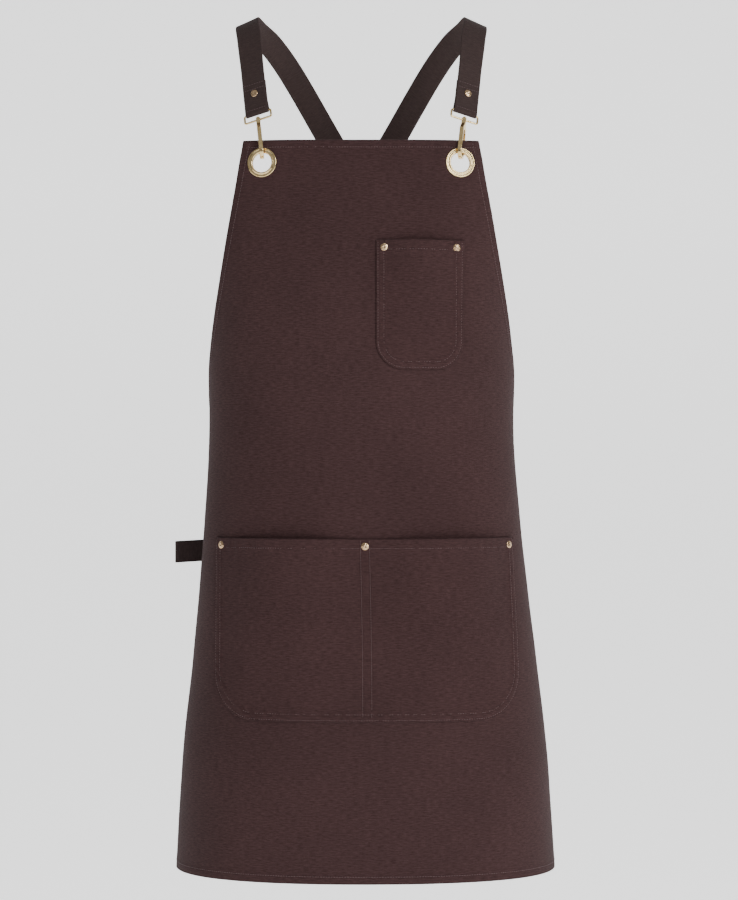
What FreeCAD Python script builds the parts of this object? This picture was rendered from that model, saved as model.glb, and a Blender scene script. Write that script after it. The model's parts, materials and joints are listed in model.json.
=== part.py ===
import FreeCAD, Part
import functools
import math
import os

# Butcher apron with cross-back straps, as it hangs when worn, in millimetres.
# +Z is up, the front faces -Y, and the origin is midway between the two shoulder crests.
# "Left" is the -X side and "right" the +X side, as seen from in front.

Vector = FreeCAD.Vector
UP = Vector(0, 0, 1)
ACROSS = Vector(1, 0, 0)
BACKWARD = Vector(0, 1, 0)
ORIGIN = Vector(0, 0, 0)
TOUCH = 1e-6

# Worn form: height, half width, front, side line, depth behind the side line, squareness, drift.
# The drift is how far the cloth hangs off to the right of the middle.
FORM = [
    (-1014, 227.5, -125, 20, 76, 2.3, 5.0),
    (-880, 219.0, -124, 16, 74, 2.3, 4.2),
    (-760, 205.5, -121, 12, 70, 2.3, 4.0),
    (-620, 191.0, -114, 8, 66, 2.3, 1.5),
    (-500, 182.0, -111, 6, 62, 2.3, 0.0),
    (-400, 183.0, -116, 6, 66, 2.4, 0.0),
    (-300, 183.0, -116, 8, 68, 2.8, 0.0),
    (-152, 165.0, -98, 8, 66, 4.5, 0.0),
]
SECTION_STEPS = 180
DRIFT_COLUMN = 6

# Apron panel, cut flat: girth is measured round the form from the front centre line.
CLOTH = 1.2
BIB_TOP = -152.0
WAIST = -502.0
HEM = -1014.0
BIB_HALF = 138.5
SKIRT_HALF = 308.0
ARMHOLE_SWEEP = 0.36
ARMHOLE_DROP = 0.86
PANEL_GRID = (14, 52)

# Pockets.
LAYER_GAP = 0.1
CHEST_POCKET = {"inner": 18.0, "outer": 119.5, "top": -270.0, "bottom": -418.5, "corner": 32.0}
WAIST_POCKET = {"middle": 4.0, "half": 190.5, "top": -616.5, "bottom": -827.0, "corner": 58.0}
CHEST_MOUTH_BULGE = 11.0
WAIST_MOUTH_BULGE = 13.0
MOUTH_SHARE = 0.76
CHEST_POCKET_GRID = (12, 12)
WAIST_POCKET_GRID = (12, 40)

# Eyelets in the bib, with their washers behind.
EYELET_GIRTH = 115.6
EYELET_Z = -178.0
EYELET_BORE_R = 11.5
EYELET_BARREL_R = 12.3
EYELET_FLANGE_R = 17.5
EYELET_BACK = -2.7
WASHER_T = 0.7
WASHER_INSET = 0.2
WASHER_BEVEL = 0.4
HOLE_GAP = 0.05
HOLE_REACH = 10.0

# The eyelet's rolled face as (step, height): in from the flange's edge, out from the middle of
# the face, and out from the bore. The lip is the barrel's end, rolled outwards behind.
FLANGE_ROLL = ((0.0, 0.8), (0.8, 1.3), (1.8, 1.3))
FACE_GROOVE = ((0.3, 0.9), (-0.3, 0.9), (-0.9, 1.5))
BORE_ROLL = ((1.2, 1.6), (0.3, 1.2), (0.0, 0.4))
EYELET_LIP = 1.0

# Rivets; the dome is a cap's outline as (radius, height), with a dimple in its middle.
RIVET_DOME = ((4.6, 0.0), (4.6, 0.5), (4.1, 1.2), (3.1, 1.75), (1.6, 1.9), (1.1, 1.4))
RIVET_POST_R = 1.5
RIVET_BURR_R = 4.0
RIVET_BURR_T = 0.8
RIVET_SEAT = 0.15
CHEST_RIVET_GIRTHS = (26.7, 111.0)
CHEST_RIVET_Z = -278.0
WAIST_RIVET_GIRTHS = (-175.5, 3.0, 185.0)
WAIST_RIVET_Z = -624.5

# Towel loop on the left side.
LOOP_WIDTH = 26.0
LOOP_T = 1.5
LOOP_Z = -634.0
LOOP_REACH = 38.0
LOOP_ROOT = 3.3
LOOP_GAP = 7.0
LOOP_FOOT = 22.0
LOOP_ANGLE = 103.0
LOOP_NECK = 6.0
FOOT_GRID = (6, 2)

# Straps.
STRAP_WIDTH = 30.0
STRAP_T = 1.6
STRAP_LEAN = Vector(0.105, 0.36, 0.927)
STRAP_TURN = 13.0
FRONT_STRAIGHT = 46.0
FOLD_HEIGHT = 39.0
FOLD_CLOSE = (3.0, 14.0)
STATION_STEP = 16.0
BACK_STATION_STEP = 24.0
# Where the right strap passes over the shoulder, with its across vectors, before the crossing.
CREST_STATIONS = (
    (Vector(133.5, -36, -22), Vector(0.94, 0.18, -0.28)),
    (Vector(136.5, -12, -0.8), Vector(0.91, 0.20, -0.37)),
    (Vector(128.0, 13, -6), Vector(0.86, 0.24, -0.45)),
    (Vector(110.5, 38, -20), Vector(0.82, 0.24, -0.51)),
    (Vector(86.0, 62, -52), Vector(0.83, 0.18, -0.52)),
    (Vector(42.0, 83, -126), Vector(0.86, 0.07, -0.50)),
)
STRAP_RIVET_HEIGHT = 25.0
CROSSING = Vector(0, 92, -198)
CROSSING_ACROSS = Vector(0.88, 0, -0.47)
CROSSING_GAP = 1.5
BACK_STRAIGHT = 165.0
RIBBON_GRID = (26, 3)

# Swivel snap hooks and the wire frames that join them to the straps.
WIRE_R = 1.2
WIRE_GAP = 0.1
FRAME_DROP = 9.2
FRAME_SIDE_GAP = 1.0
FRAME_BEND_R = 1.8
BOSS_R = 2.7
BOSS_HALF = 1.7
SHANK_R = 1.4
SHANK_GAP = 0.05
HEAD = ((2.0, 0.0), (2.5, 0.5), (2.5, 1.1), (1.6, 2.1), (0.0, 2.4))
HOOK_DROP = 49.0
HOOK_HALF = 7.9
HOOK_T = 3.0
HOOK_WIDTH = 5.0
HOOK_EDGE = 0.9
HOOK_SEAT = 5.2
HOOK_FORWARD = 2.2
HOOK_NOSE_Z = -27.0
CATCH_GAP = 0.3
CATCH_RISE = 2.4
SHANK_SINK = 0.6
# The neck's outline, from the back limb's outside over to the gate and under to its inside.
HOOK_NECK = (
    (-9.4, -14.0), (-3.4, -5.2), (-3.2, -1.75), (3.2, -1.75), (3.6, -5.0),
    (7.9, -9.4), (7.9, -12.8), (3.2, -13.6), (-1.6, -12.6), (-6.4, -17.5),
)
SWIVEL_REST = {"left": 25.0, "right": 36.0}

# Gate of the hook.
GATE_PIVOT = (5.4, -11.0)
GATE_EYE_R = 2.0
GATE_TIP = (7.0, -26.6)
GATE_T = 1.7
GATE_WIDTH = 1.5
GATE_SIDE = -1.4
SLOT_HALF = 1.5
SLOT_GAP = 0.6
SLOT_ENDS = (-17.0, -7.8)
GATE_LEVER = ((7.4, -11.0), (7.85, -25.6), (7.85, -26.6), (6.15, -26.6), (4.2, -12.2))
GATE_PLATE = ((7.65, -14.4), (7.85, -26.6), (6.15, -26.6), (6.15, -14.4))
GATE_PLATE_INSET = 0.3
PIN_R = 0.8
SPRING_WIRE = 0.36
SPRING_R = 1.25
SPRING_PITCH = 0.46
SPRING_TURNS = 1.5

# Back adjuster: sewn tab, rectangular ring, slider and the strap's return layer.
TAB_GIRTH = 290.0
TAB_Z = -503.0
TAB_LEG = 24.0
TAB_RISE = 26.0
TAB_INSIDE = 5.4
TAB_OUTSIDE = 1.5
TAB_NECK = 4.0
RING_DROP = 12.0
SLIDER_HEIGHT = 78.0
SLIDER_HALF = 9.0
SLIDER_BAR_T = 1.4
SLIDER_BAR_W = 3.0
SLIDER_RAIL_T = 1.6
LOOP_END = 16.0
LAYER_LAP = 0.3


# ---------------------------------------------------------------- worn form

def smooth_value(places, values, at):
    """Value on a smooth curve through values at rising places; the values are numbers or vectors."""
    last = len(places) - 1
    at = min(max(at, places[0]), places[last])
    i = max(k for k in range(last) if places[k] <= at)
    step = places[i + 1] - places[i]

    def slope(k):
        low, high = max(k - 1, 0), min(k + 1, last)
        return (values[high] - values[low]) * (step / (places[high] - places[low]))

    t = (at - places[i]) / step
    return (
        values[i] * (2 * t**3 - 3 * t**2 + 1)
        + slope(i) * (t**3 - 2 * t**2 + t)
        + values[i + 1] * (3 * t**2 - 2 * t**3)
        + slope(i + 1) * (t**3 - t**2)
    )


@functools.lru_cache(maxsize=None)
def form_value(z, column):
    """One column of the form at a height."""
    return smooth_value([row[0] for row in FORM], [row[column] for row in FORM], z)


@functools.lru_cache(maxsize=None)
def section(z):
    """Half of the form's plan outline at a height, as (girth, x, y) from front to back."""
    half, front, side, back, square = (form_value(z, column) for column in range(1, 6))
    points = [(0.0, 0.0, front)]
    for step in range(1, SECTION_STEPS + 1):
        angle = math.pi * step / SECTION_STEPS
        if step < SECTION_STEPS / 2:
            x = half * math.sin(angle) ** (2 / square)
            y = side - (side - front) * math.cos(angle) ** (2 / square)
        else:
            x = half * math.sin(angle)
            y = side - back * math.cos(angle)
        girth, x0, y0 = points[-1]
        points.append((girth + math.hypot(x - x0, y - y0), x, y))
    return points


def skin(girth, z):
    """Point on the form at a girth from the front centre line; negative girths are on the left."""
    points = section(z)
    side = -1 if girth < 0 else 1
    i = max(k for k in range(len(points) - 1) if points[k][0] <= abs(girth))
    (g0, x0, y0), (g1, x1, y1) = points[i], points[i + 1]
    t = (abs(girth) - g0) / (g1 - g0)
    drift = form_value(z, DRIFT_COLUMN)
    return Vector(drift + side * (x0 + t * (x1 - x0)), y0 + t * (y1 - y0), z)


def skin_axes(girth, z, reach=4.0):
    """Unit vectors at a point of the form: round it, up it and out of it."""
    around = skin(girth + reach, z) - skin(girth - reach, z)
    rise = skin(girth, z + reach) - skin(girth, z - reach)
    around.normalize()
    outward = around.cross(rise)
    outward.normalize()
    return around, outward.cross(around), outward


def cloth(girth, z, lift):
    """Point at a height above the form, measured outwards."""
    return skin(girth, z) + skin_axes(girth, z)[2] * lift


# ---------------------------------------------------------------- sheets

def even_parameters(count):
    return [k / (count - 1) for k in range(count)]


def spline(points):
    """Smooth curve through points, at even parameters, so that neighbours share their knots."""
    curve = Part.BSplineCurve()
    curve.interpolate(Points=list(points), Parameters=even_parameters(len(points)))
    return curve


def spline_face(grid):
    """Smooth face through a grid of points."""
    rows = [spline(row) for row in grid]
    columns = [spline(column) for column in zip(*(row.getPoles() for row in rows))]
    surface = Part.BSplineSurface()
    surface.buildFromPolesMultsKnots(
        [column.getPoles() for column in columns],
        rows[0].getMultiplicities(), columns[0].getMultiplicities(),
        rows[0].getKnots(), columns[0].getKnots(),
        False, False, rows[0].Degree, columns[0].Degree,
    )
    return surface.toShape()


def sheet_faces(point, rows, columns, rims):
    """Faces of one stretch of sheet. point(t, s, side) takes t down it and s across it from -1 to 1."""
    sides = [
        [[point(i / rows, 2 * j / columns - 1, side) for j in range(columns + 1)] for i in range(rows + 1)]
        for side in (1, 0)
    ]
    edges = {
        "top": [grid[0] for grid in sides],
        "bottom": [grid[-1] for grid in sides],
        "left": [[row[0] for row in grid] for grid in sides],
        "right": [[row[-1] for row in grid] for grid in sides],
    }
    return [spline_face(grid) for grid in sides + [edges[name] for name in rims]]


def sewn_solid(faces):
    """Solid inside a closed set of faces."""
    shell = Part.Compound(faces)
    shell.sewShape()
    solid = Part.makeSolid(shell.Shells[0])
    if solid.Volume < 0:
        solid.reverse()
    return solid


def fused(shapes):
    joined = shapes[0].fuse(shapes[1:])
    return joined.removeSplitter()


def placed(shape, origin, across, up):
    """Copy of a shape moved from its own axes to an origin, with its X across and its Z up."""
    depth = up.cross(across)
    matrix = FreeCAD.Matrix(
        across.x, depth.x, up.x, origin.x,
        across.y, depth.y, up.y, origin.y,
        across.z, depth.z, up.z, origin.z,
        0, 0, 0, 1,
    )
    copy = shape.copy()
    copy.Placement = FreeCAD.Placement(matrix) * shape.Placement
    return copy


def block(low, high):
    return Part.makeBox(*(b - a for a, b in zip(low, high)), Vector(*low))


def extruded(outline, y0, y1):
    """Prism over an outline of (x, z) points, from y0 to y1."""
    points = [Vector(x, y0, z) for x, z in outline]
    return Part.Face(Part.makePolygon(points + points[:1])).extrude(Vector(0, y1 - y0, 0))


def revolved(outline):
    """Ring turned about Z from an outline of (radius, z) points."""
    points = [Vector(r, 0, z) for r, z in outline]
    return Part.Face(Part.makePolygon(points + points[:1])).revolve(ORIGIN, UP, 360)


# ---------------------------------------------------------------- panel and pockets

def panel_solid():
    drop = WAIST - BIB_TOP
    spread = SKIRT_HALF - BIB_HALF

    def bib(t, s, side):
        half = BIB_HALF + spread * (2 * ARMHOLE_SWEEP * t * (1 - t) + t * t)
        z = BIB_TOP + drop * (2 * ARMHOLE_DROP * t * (1 - t) + t * t)
        return cloth(s * half, z, side * CLOTH)

    def skirt(t, s, side):
        return cloth(s * SKIRT_HALF, WAIST + t * (HEM - WAIST), side * CLOTH)

    faces = sheet_faces(bib, *PANEL_GRID, ("top", "left", "right"))
    faces += sheet_faces(skirt, *PANEL_GRID, ("bottom", "left", "right"))
    return sewn_solid(faces)


def mouth_swell(t, s):
    """How far a pocket's front stands off, from 0 at its sides and bottom to 1 at its mouth."""
    across = min(abs(s) / MOUTH_SHARE, 1.0)
    return (1 - across**2) ** 2 * (1 - t) ** 2 * (1 + 2 * t)


def corner_cutter(girth, z, radius, side):
    """Cutter that rounds a pocket's lower corner; side is 1 at its right and -1 at its left."""
    centre_girth = girth - side * radius
    around, rise, outward = skin_axes(centre_girth, z + radius)
    square = block((0, -radius, -2 * radius), (2 * radius, radius, 0))
    round_part = Part.makeCylinder(radius, 2 * radius, Vector(0, -radius, 0), BACKWARD)
    cutter = square.cut(round_part)
    if side < 0:
        cutter = cutter.mirror(ORIGIN, ACROSS)
    return placed(cutter, cloth(centre_girth, z + radius, 0), around, rise)


def chest_pocket_solid():
    low, high = CHEST_POCKET["inner"], CHEST_POCKET["outer"]
    top, bottom = CHEST_POCKET["top"], CHEST_POCKET["bottom"]

    def front(t, s, side):
        lift = CLOTH + LAYER_GAP + side * CLOTH + CHEST_MOUTH_BULGE * mouth_swell(t, s)
        return cloth((low + high) / 2 + s * (high - low) / 2, top + t * (bottom - top), lift)

    solid = sewn_solid(sheet_faces(front, *CHEST_POCKET_GRID, ("top", "bottom", "left", "right")))
    for girth, side in ((low, -1), (high, 1)):
        solid = solid.cut(corner_cutter(girth, bottom, CHEST_POCKET["corner"], side))
    return solid


def waist_pocket_solid():
    middle, half = WAIST_POCKET["middle"], WAIST_POCKET["half"]
    top, bottom = WAIST_POCKET["top"], WAIST_POCKET["bottom"]

    def front(t, s, side):
        across = 2 * abs(s) - 1
        lift = CLOTH + LAYER_GAP + side * CLOTH + WAIST_MOUTH_BULGE * mouth_swell(t, across)
        return cloth(middle + s * half, top + t * (bottom - top), lift)

    solid = sewn_solid(sheet_faces(front, *WAIST_POCKET_GRID, ("top", "bottom", "left", "right")))
    for girth, side in ((middle - half, -1), (middle + half, 1)):
        solid = solid.cut(corner_cutter(girth, bottom, WAIST_POCKET["corner"], side))
    return solid


# ---------------------------------------------------------------- eyelets and rivets

def on_cloth(shape, girth, z, lift):
    """A shape moved on to the cloth, with its Z pointing outwards."""
    around, rise, outward = skin_axes(girth, z)
    return placed(shape, cloth(girth, z, lift), around, outward)


def eyelet_solid():
    """Rolled front flange and barrel in one piece; its Z is 0 on the cloth's outer side."""
    middle = (EYELET_BARREL_R + EYELET_FLANGE_R) / 2
    end = EYELET_BACK - WASHER_T - LAYER_GAP
    lip = EYELET_BARREL_R + EYELET_LIP
    outline = [
        (EYELET_BORE_R, end - EYELET_LIP), (lip, end - EYELET_LIP), (lip, end),
        (EYELET_BARREL_R, end), (EYELET_BARREL_R, LAYER_GAP), (EYELET_FLANGE_R, LAYER_GAP),
    ]
    outline += [(EYELET_FLANGE_R - step, height) for step, height in FLANGE_ROLL]
    outline += [(middle + step, height) for step, height in FACE_GROOVE]
    outline += [(EYELET_BORE_R + step, height) for step, height in BORE_ROLL]
    return revolved(outline)


def washer_solid():
    """Flat washer behind the cloth, in the eyelet's axes."""
    inner = EYELET_BARREL_R + HOLE_GAP
    outer = EYELET_FLANGE_R - WASHER_INSET
    low, high = EYELET_BACK - WASHER_T, EYELET_BACK
    return revolved([(inner, low), (outer - WASHER_BEVEL, low), (outer, high), (inner, high)])


def through_hole(radius, reach, centre=ORIGIN, axis=UP):
    """Cutter for a round hole that reaches the same way on each side of a point."""
    return Part.makeCylinder(radius, 2 * reach, centre - axis * reach, axis)


def rivet_cap():
    """Domed cap with a dimple, seated at Z 0."""
    return revolved([(0, 0), *RIVET_DOME, (0, RIVET_DOME[-1][1])])


def rivet_post(depth):
    """Post from Z 0 back to its burr, which starts at the given depth."""
    post = Part.makeCylinder(RIVET_POST_R, depth, Vector(0, 0, -depth))
    burr = Part.makeCylinder(RIVET_BURR_R, RIVET_BURR_T, Vector(0, 0, -depth - RIVET_BURR_T))
    return fused([post, burr])


def pocket_rivets(girths, z):
    """Caps, posts and clearance holes of a pocket's row of rivets."""
    seat = 2 * CLOTH + LAYER_GAP + RIVET_SEAT
    depth = seat + RIVET_SEAT
    parts = (rivet_cap(), rivet_post(depth), through_hole(RIVET_POST_R + HOLE_GAP, HOLE_REACH))
    return [[on_cloth(part, girth, z, seat) for girth in girths] for part in parts]


# ---------------------------------------------------------------- towel loop

def towel_loop_solid():
    """Folded loop of tape that stands out of the side, with both ends sewn flat behind it."""
    z = LOOP_Z
    girth = -next(g for g, x, y in section(z) if g > 0 and x > 0 and angle_behind(x, y, z) >= LOOP_ANGLE)
    root = cloth(girth, z, LOOP_ROOT)
    half_gap = LOOP_GAP / 2

    def at(out, back):
        return root - ACROSS * out + BACKWARD * back

    tip = LOOP_REACH - half_gap - LOOP_T
    outer = half_gap + LOOP_T
    outline = [
        Part.LineSegment(at(0, -LOOP_T), at(LOOP_NECK, -LOOP_T)),
        Part.LineSegment(at(LOOP_NECK, -LOOP_T), at(tip, -outer)),
        Part.Arc(at(tip, -outer), at(tip + outer, 0), at(tip, outer)),
        Part.LineSegment(at(tip, outer), at(LOOP_NECK, LOOP_T)),
        Part.LineSegment(at(LOOP_NECK, LOOP_T), at(0, LOOP_T)),
        Part.LineSegment(at(0, LOOP_T), at(0, -LOOP_T)),
    ]
    eye = [
        Part.LineSegment(at(LOOP_NECK + 2 * LOOP_T, 0), at(tip, -half_gap)),
        Part.Arc(at(tip, -half_gap), at(tip + half_gap, 0), at(tip, half_gap)),
        Part.LineSegment(at(tip, half_gap), at(LOOP_NECK + 2 * LOOP_T, 0)),
    ]
    drop = Vector(0, 0, -LOOP_WIDTH / 2)
    band = Part.Face(Part.Wire([piece.toShape() for piece in outline]))
    hole = Part.Face(Part.Wire([piece.toShape() for piece in eye]))
    loop = band.cut(hole)
    loop.translate(drop)
    loop = loop.extrude(UP * LOOP_WIDTH)

    def foot(t, s, side):
        lift = CLOTH + LAYER_GAP + side * 2 * LOOP_T
        return cloth(girth - t * LOOP_FOOT, z + s * LOOP_WIDTH / 2, lift)

    rims = ("top", "bottom", "left", "right")
    return fused([loop, sewn_solid(sheet_faces(foot, *FOOT_GRID, rims))])


def angle_behind(x, y, z):
    """Angle round the form from the front, in degrees, at a point of its section."""
    return math.degrees(math.atan2(x / form_value(z, 1), (form_value(z, 3) - y) / form_value(z, 4)))


# ---------------------------------------------------------------- frames along a strap

def front_end():
    """Origin at the hook frame's top bar on the right, with the strap's across and up vectors."""
    around, rise, outward = skin_axes(EYELET_GIRTH, EYELET_Z)
    up = Vector(STRAP_LEAN)
    up.normalize()
    across = around - up * around.dot(up)
    across.normalize()
    across = FreeCAD.Rotation(up, STRAP_TURN).multVec(across)
    middle = (EYELET_BACK - WASHER_T) / 2 + CLOTH + HOOK_FORWARD
    seat = cloth(EYELET_GIRTH, EYELET_Z, middle) + rise * (EYELET_BORE_R - HOOK_SEAT)
    return seat + up * (HOOK_DROP + FRAME_DROP), across, up


def back_end():
    """Origin at the ring's top bar on the left, with the right shoulder strap's across and up."""
    around, rise, outward = skin_axes(-TAB_GIRTH, TAB_Z)
    root = cloth(-TAB_GIRTH, TAB_Z, CLOTH / 2)
    up = CROSSING - root
    up.normalize()
    across = outward.cross(up)
    across.normalize()
    return root + up * (TAB_RISE + RING_DROP), across, up


def strap_line(shift):
    """Middle line of the right shoulder strap between its straight ends, with its across vectors."""
    bar, across, up = front_end()
    front_depth = up.cross(across)
    fold = WIRE_R + WIRE_GAP + STRAP_T / 2
    start = bar - front_depth * fold + up * FRONT_STRAIGHT
    ring, back_across, back_up = back_end()
    back_depth = back_up.cross(back_across)
    finish = ring + back_depth * fold + back_up * BACK_STRAIGHT
    behind = Vector(0, shift, 0)
    stations = [
        (start, across),
        (start + up * STATION_STEP, across),
        *CREST_STATIONS,
        (CROSSING + behind, CROSSING_ACROSS),
        (finish + back_up * BACK_STATION_STEP, back_across),
        (finish, back_across),
    ]
    points = [point for point, width in stations]
    lengths = [0.0]
    for before, after in zip(points, points[1:]):
        lengths.append(lengths[-1] + (after - before).Length)
    line = Part.BSplineCurve()
    line.interpolate(Points=points, Parameters=lengths, InitialTangent=up, FinalTangent=back_up * -1)
    widths = [width for point, width in stations]
    return line, functools.partial(smooth_value, lengths, widths)


def ribbon_solid(shift):
    """The strap over the shoulder and down the back, between its two straight ends."""
    line, width_at = strap_line(shift)
    length = line.length()

    def point(t, s, side):
        at = line.LastParameter
        if t < 1:
            at = line.parameterAtDistance(t * length, line.FirstParameter)
        tangent = line.tangent(at)[0]
        across = width_at(at)
        across = across - tangent * across.dot(tangent)
        across.normalize()
        normal = across.cross(tangent)
        normal.normalize()
        return line.value(at) + across * (s * STRAP_WIDTH / 2) + normal * ((side - 0.5) * STRAP_T)

    return sewn_solid(sheet_faces(point, *RIBBON_GRID, ("top", "bottom", "left", "right")))


def folded_end(run, back_run):
    """Side view (depth, height) of a strap folded up behind a bar at the origin, as one solid."""
    near = WIRE_R + WIRE_GAP
    far = near + STRAP_T
    half = STRAP_WIDTH / 2
    turn = Part.makeCylinder(far, STRAP_WIDTH, Vector(-half, 0, 0), ACROSS)
    turn = turn.cut(Part.makeCylinder(near, STRAP_WIDTH, Vector(-half, 0, 0), ACROSS))
    turn = turn.cut(block((-half, -far, 0), (half, far, far)))
    front = block((-half, -far, 0), (half, -near, run))
    low, high = FOLD_CLOSE
    meet = -near
    outline = [
        (near, 0), (far, 0), (far, low), (meet + STRAP_T, high), (meet + STRAP_T, back_run),
        (meet, back_run), (meet, high), (near, low),
    ]
    points = [Vector(-half, y, z) for y, z in outline]
    rear = Part.Face(Part.makePolygon(points + points[:1])).extrude(ACROSS * STRAP_WIDTH)
    return fused([turn, front, rear])


def strap_solid(shift):
    """Right shoulder strap: folded front end, ribbon over the shoulder, and straight lower back end."""
    bar, across, up = front_end()
    front = placed(folded_end(FRONT_STRAIGHT, FOLD_HEIGHT), bar, across, up)
    ring, back_across, back_up = back_end()
    near = WIRE_R + WIRE_GAP
    half = STRAP_WIDTH / 2
    back = block((-half, near, 0), (half, near + STRAP_T, BACK_STRAIGHT))
    back = placed(back, ring, back_across, back_up)
    return fused([front, ribbon_solid(shift), back])


def strap_rivet():
    """Cap, post and hole of the rivet through the strap's folded front end, in the end's axes."""
    near = WIRE_R + WIRE_GAP
    seat = near + STRAP_T + LAYER_GAP
    depth = 2 * STRAP_T + 2 * LAYER_GAP
    parts = (rivet_cap(), rivet_post(depth), through_hole(RIVET_POST_R + HOLE_GAP, HOLE_REACH))
    origin = Vector(0, -seat, STRAP_RIVET_HEIGHT)
    return [placed(part, origin, ACROSS, -BACKWARD) for part in parts]


# ---------------------------------------------------------------- snap hook

def wire_loop(drop):
    """Rectangular wire loop round a strap, from its top bar at the origin down to its lower bar."""
    side = STRAP_WIDTH / 2 + FRAME_SIDE_GAP + WIRE_R
    bend = FRAME_BEND_R
    straights = [
        (Vector(bend - side, 0, 0), ACROSS, 2 * (side - bend)),
        (Vector(bend - side, 0, -drop), ACROSS, 2 * (side - bend)),
        (Vector(-side, 0, -bend), -UP, drop - 2 * bend),
        (Vector(side, 0, -bend), -UP, drop - 2 * bend),
    ]
    parts = [Part.makeCylinder(WIRE_R, length, start, way) for start, way, length in straights]
    for x, z, first in ((side, 0, 0), (-side, 0, 90), (-side, -drop, 180), (side, -drop, 270)):
        centre = Vector(x - math.copysign(bend, x), 0, -bend if z == 0 else bend - drop)
        quarter = Part.makeTorus(bend, WIRE_R, ORIGIN, UP, 0, 360, 90)
        quarter.rotate(ORIGIN, UP, first)
        quarter.rotate(ORIGIN, ACROSS, 90)
        quarter.translate(centre)
        parts.append(quarter)
    return fused(parts)


def hook_frame_solid():
    """Wire loop with the swivel boss in the middle of its lower bar."""
    centre = UP * -FRAME_DROP
    boss = Part.makeCylinder(BOSS_R, 2 * BOSS_HALF, centre - UP * BOSS_HALF)
    hole = through_hole(SHANK_R + SHANK_GAP, 2 * BOSS_HALF, centre)
    return fused([wire_loop(FRAME_DROP), boss]).cut(hole)


def hook_solid():
    """Hook with its shank on Z, its swivel boss at the origin, and its gate side at +X."""
    bend_z = HOOK_HALF - HOOK_DROP
    inner, outer = HOOK_HALF - HOOK_T / 2, HOOK_HALF + HOOK_T / 2
    half = HOOK_WIDTH / 2
    pivot_x, pivot_z = GATE_PIVOT
    lip = GATE_TIP[0] + GATE_T / 2 + CATCH_GAP
    upper = extruded([*HOOK_NECK, (-inner, bend_z), (-outer, bend_z)], -half, half)
    ring = Part.makeCylinder(outer, HOOK_WIDTH, Vector(0, -half, bend_z), BACKWARD)
    ring = ring.cut(Part.makeCylinder(inner, HOOK_WIDTH, Vector(0, -half, bend_z), BACKWARD))
    bow = ring.cut(block((-outer, -half, bend_z), (outer, half, bend_z + outer)))
    nose = block((inner, -half, bend_z), (outer, half, HOOK_NOSE_Z))
    catch = block((lip, -half, HOOK_NOSE_Z), (outer, half, HOOK_NOSE_Z + CATCH_RISE))
    body = fused([upper, bow, nose])
    body = fused([body.makeFillet(HOOK_EDGE, long_edges(body, half)), catch])
    slot_left = pivot_x - GATE_EYE_R - SLOT_GAP
    slot = block((slot_left, -SLOT_HALF, SLOT_ENDS[0]), (2 * outer, SLOT_HALF, SLOT_ENDS[1]))
    pin_hole = through_hole(PIN_R, HOOK_WIDTH, Vector(pivot_x, 0, pivot_z), BACKWARD)
    neck_top = -BOSS_HALF - SHANK_GAP
    shank = Part.makeCylinder(SHANK_R, 2 * (BOSS_HALF + SHANK_SINK), UP * (neck_top - SHANK_SINK))
    head = revolved([(0, 0), *HEAD])
    head.translate(UP * (BOSS_HALF + SHANK_GAP))
    return fused([body.cut(slot).cut(pin_hole), shank, head])


def long_edges(body, half):
    """Edges that run along the two flat sides of the hook."""
    def on_side(edge):
        box = edge.BoundBox
        return abs(abs(box.YMin) - half) < TOUCH and box.YLength < TOUCH
    return [edge for edge in body.Edges if on_side(edge)]


def gate_solid():
    """Gate lever with a wider face plate, hung from its pivot and closed against the nose."""
    low, high = GATE_SIDE, GATE_SIDE + GATE_WIDTH
    face = HOOK_WIDTH / 2 - GATE_PLATE_INSET
    pivot_x, pivot_z = GATE_PIVOT
    eye = Part.makeCylinder(GATE_EYE_R, GATE_WIDTH, Vector(pivot_x, low, pivot_z), BACKWARD)
    lever = extruded(GATE_LEVER, low, high)
    plate = extruded(GATE_PLATE, -face, face)
    hole = through_hole(PIN_R + HOLE_GAP, HOOK_WIDTH, Vector(pivot_x, 0, pivot_z), BACKWARD)
    return fused([eye, lever, plate]).cut(hole)


def gate_pin_solid():
    half = HOOK_WIDTH / 2
    return Part.makeCylinder(PIN_R, HOOK_WIDTH, Vector(GATE_PIVOT[0], -half, GATE_PIVOT[1]), BACKWARD)


def gate_spring_solid():
    """Small coil of square wire round the pin, beside the gate's eye."""
    helix = Part.makeHelix(SPRING_PITCH, SPRING_PITCH * SPRING_TURNS, SPRING_R)
    half = SPRING_WIRE / 2
    corners = [(-half, -half), (half, -half), (half, half), (-half, half), (-half, -half)]
    square = Part.makePolygon([Vector(SPRING_R + x, 0, z) for x, z in corners])
    coil = Part.Wire(helix.Edges).makePipeShell([square], True, True)
    coil.rotate(ORIGIN, ACROSS, -90)
    start = GATE_SIDE + GATE_WIDTH + LAYER_GAP + half
    coil.translate(Vector(GATE_PIVOT[0], start, GATE_PIVOT[1]))
    return coil


# ---------------------------------------------------------------- back adjuster

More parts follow.
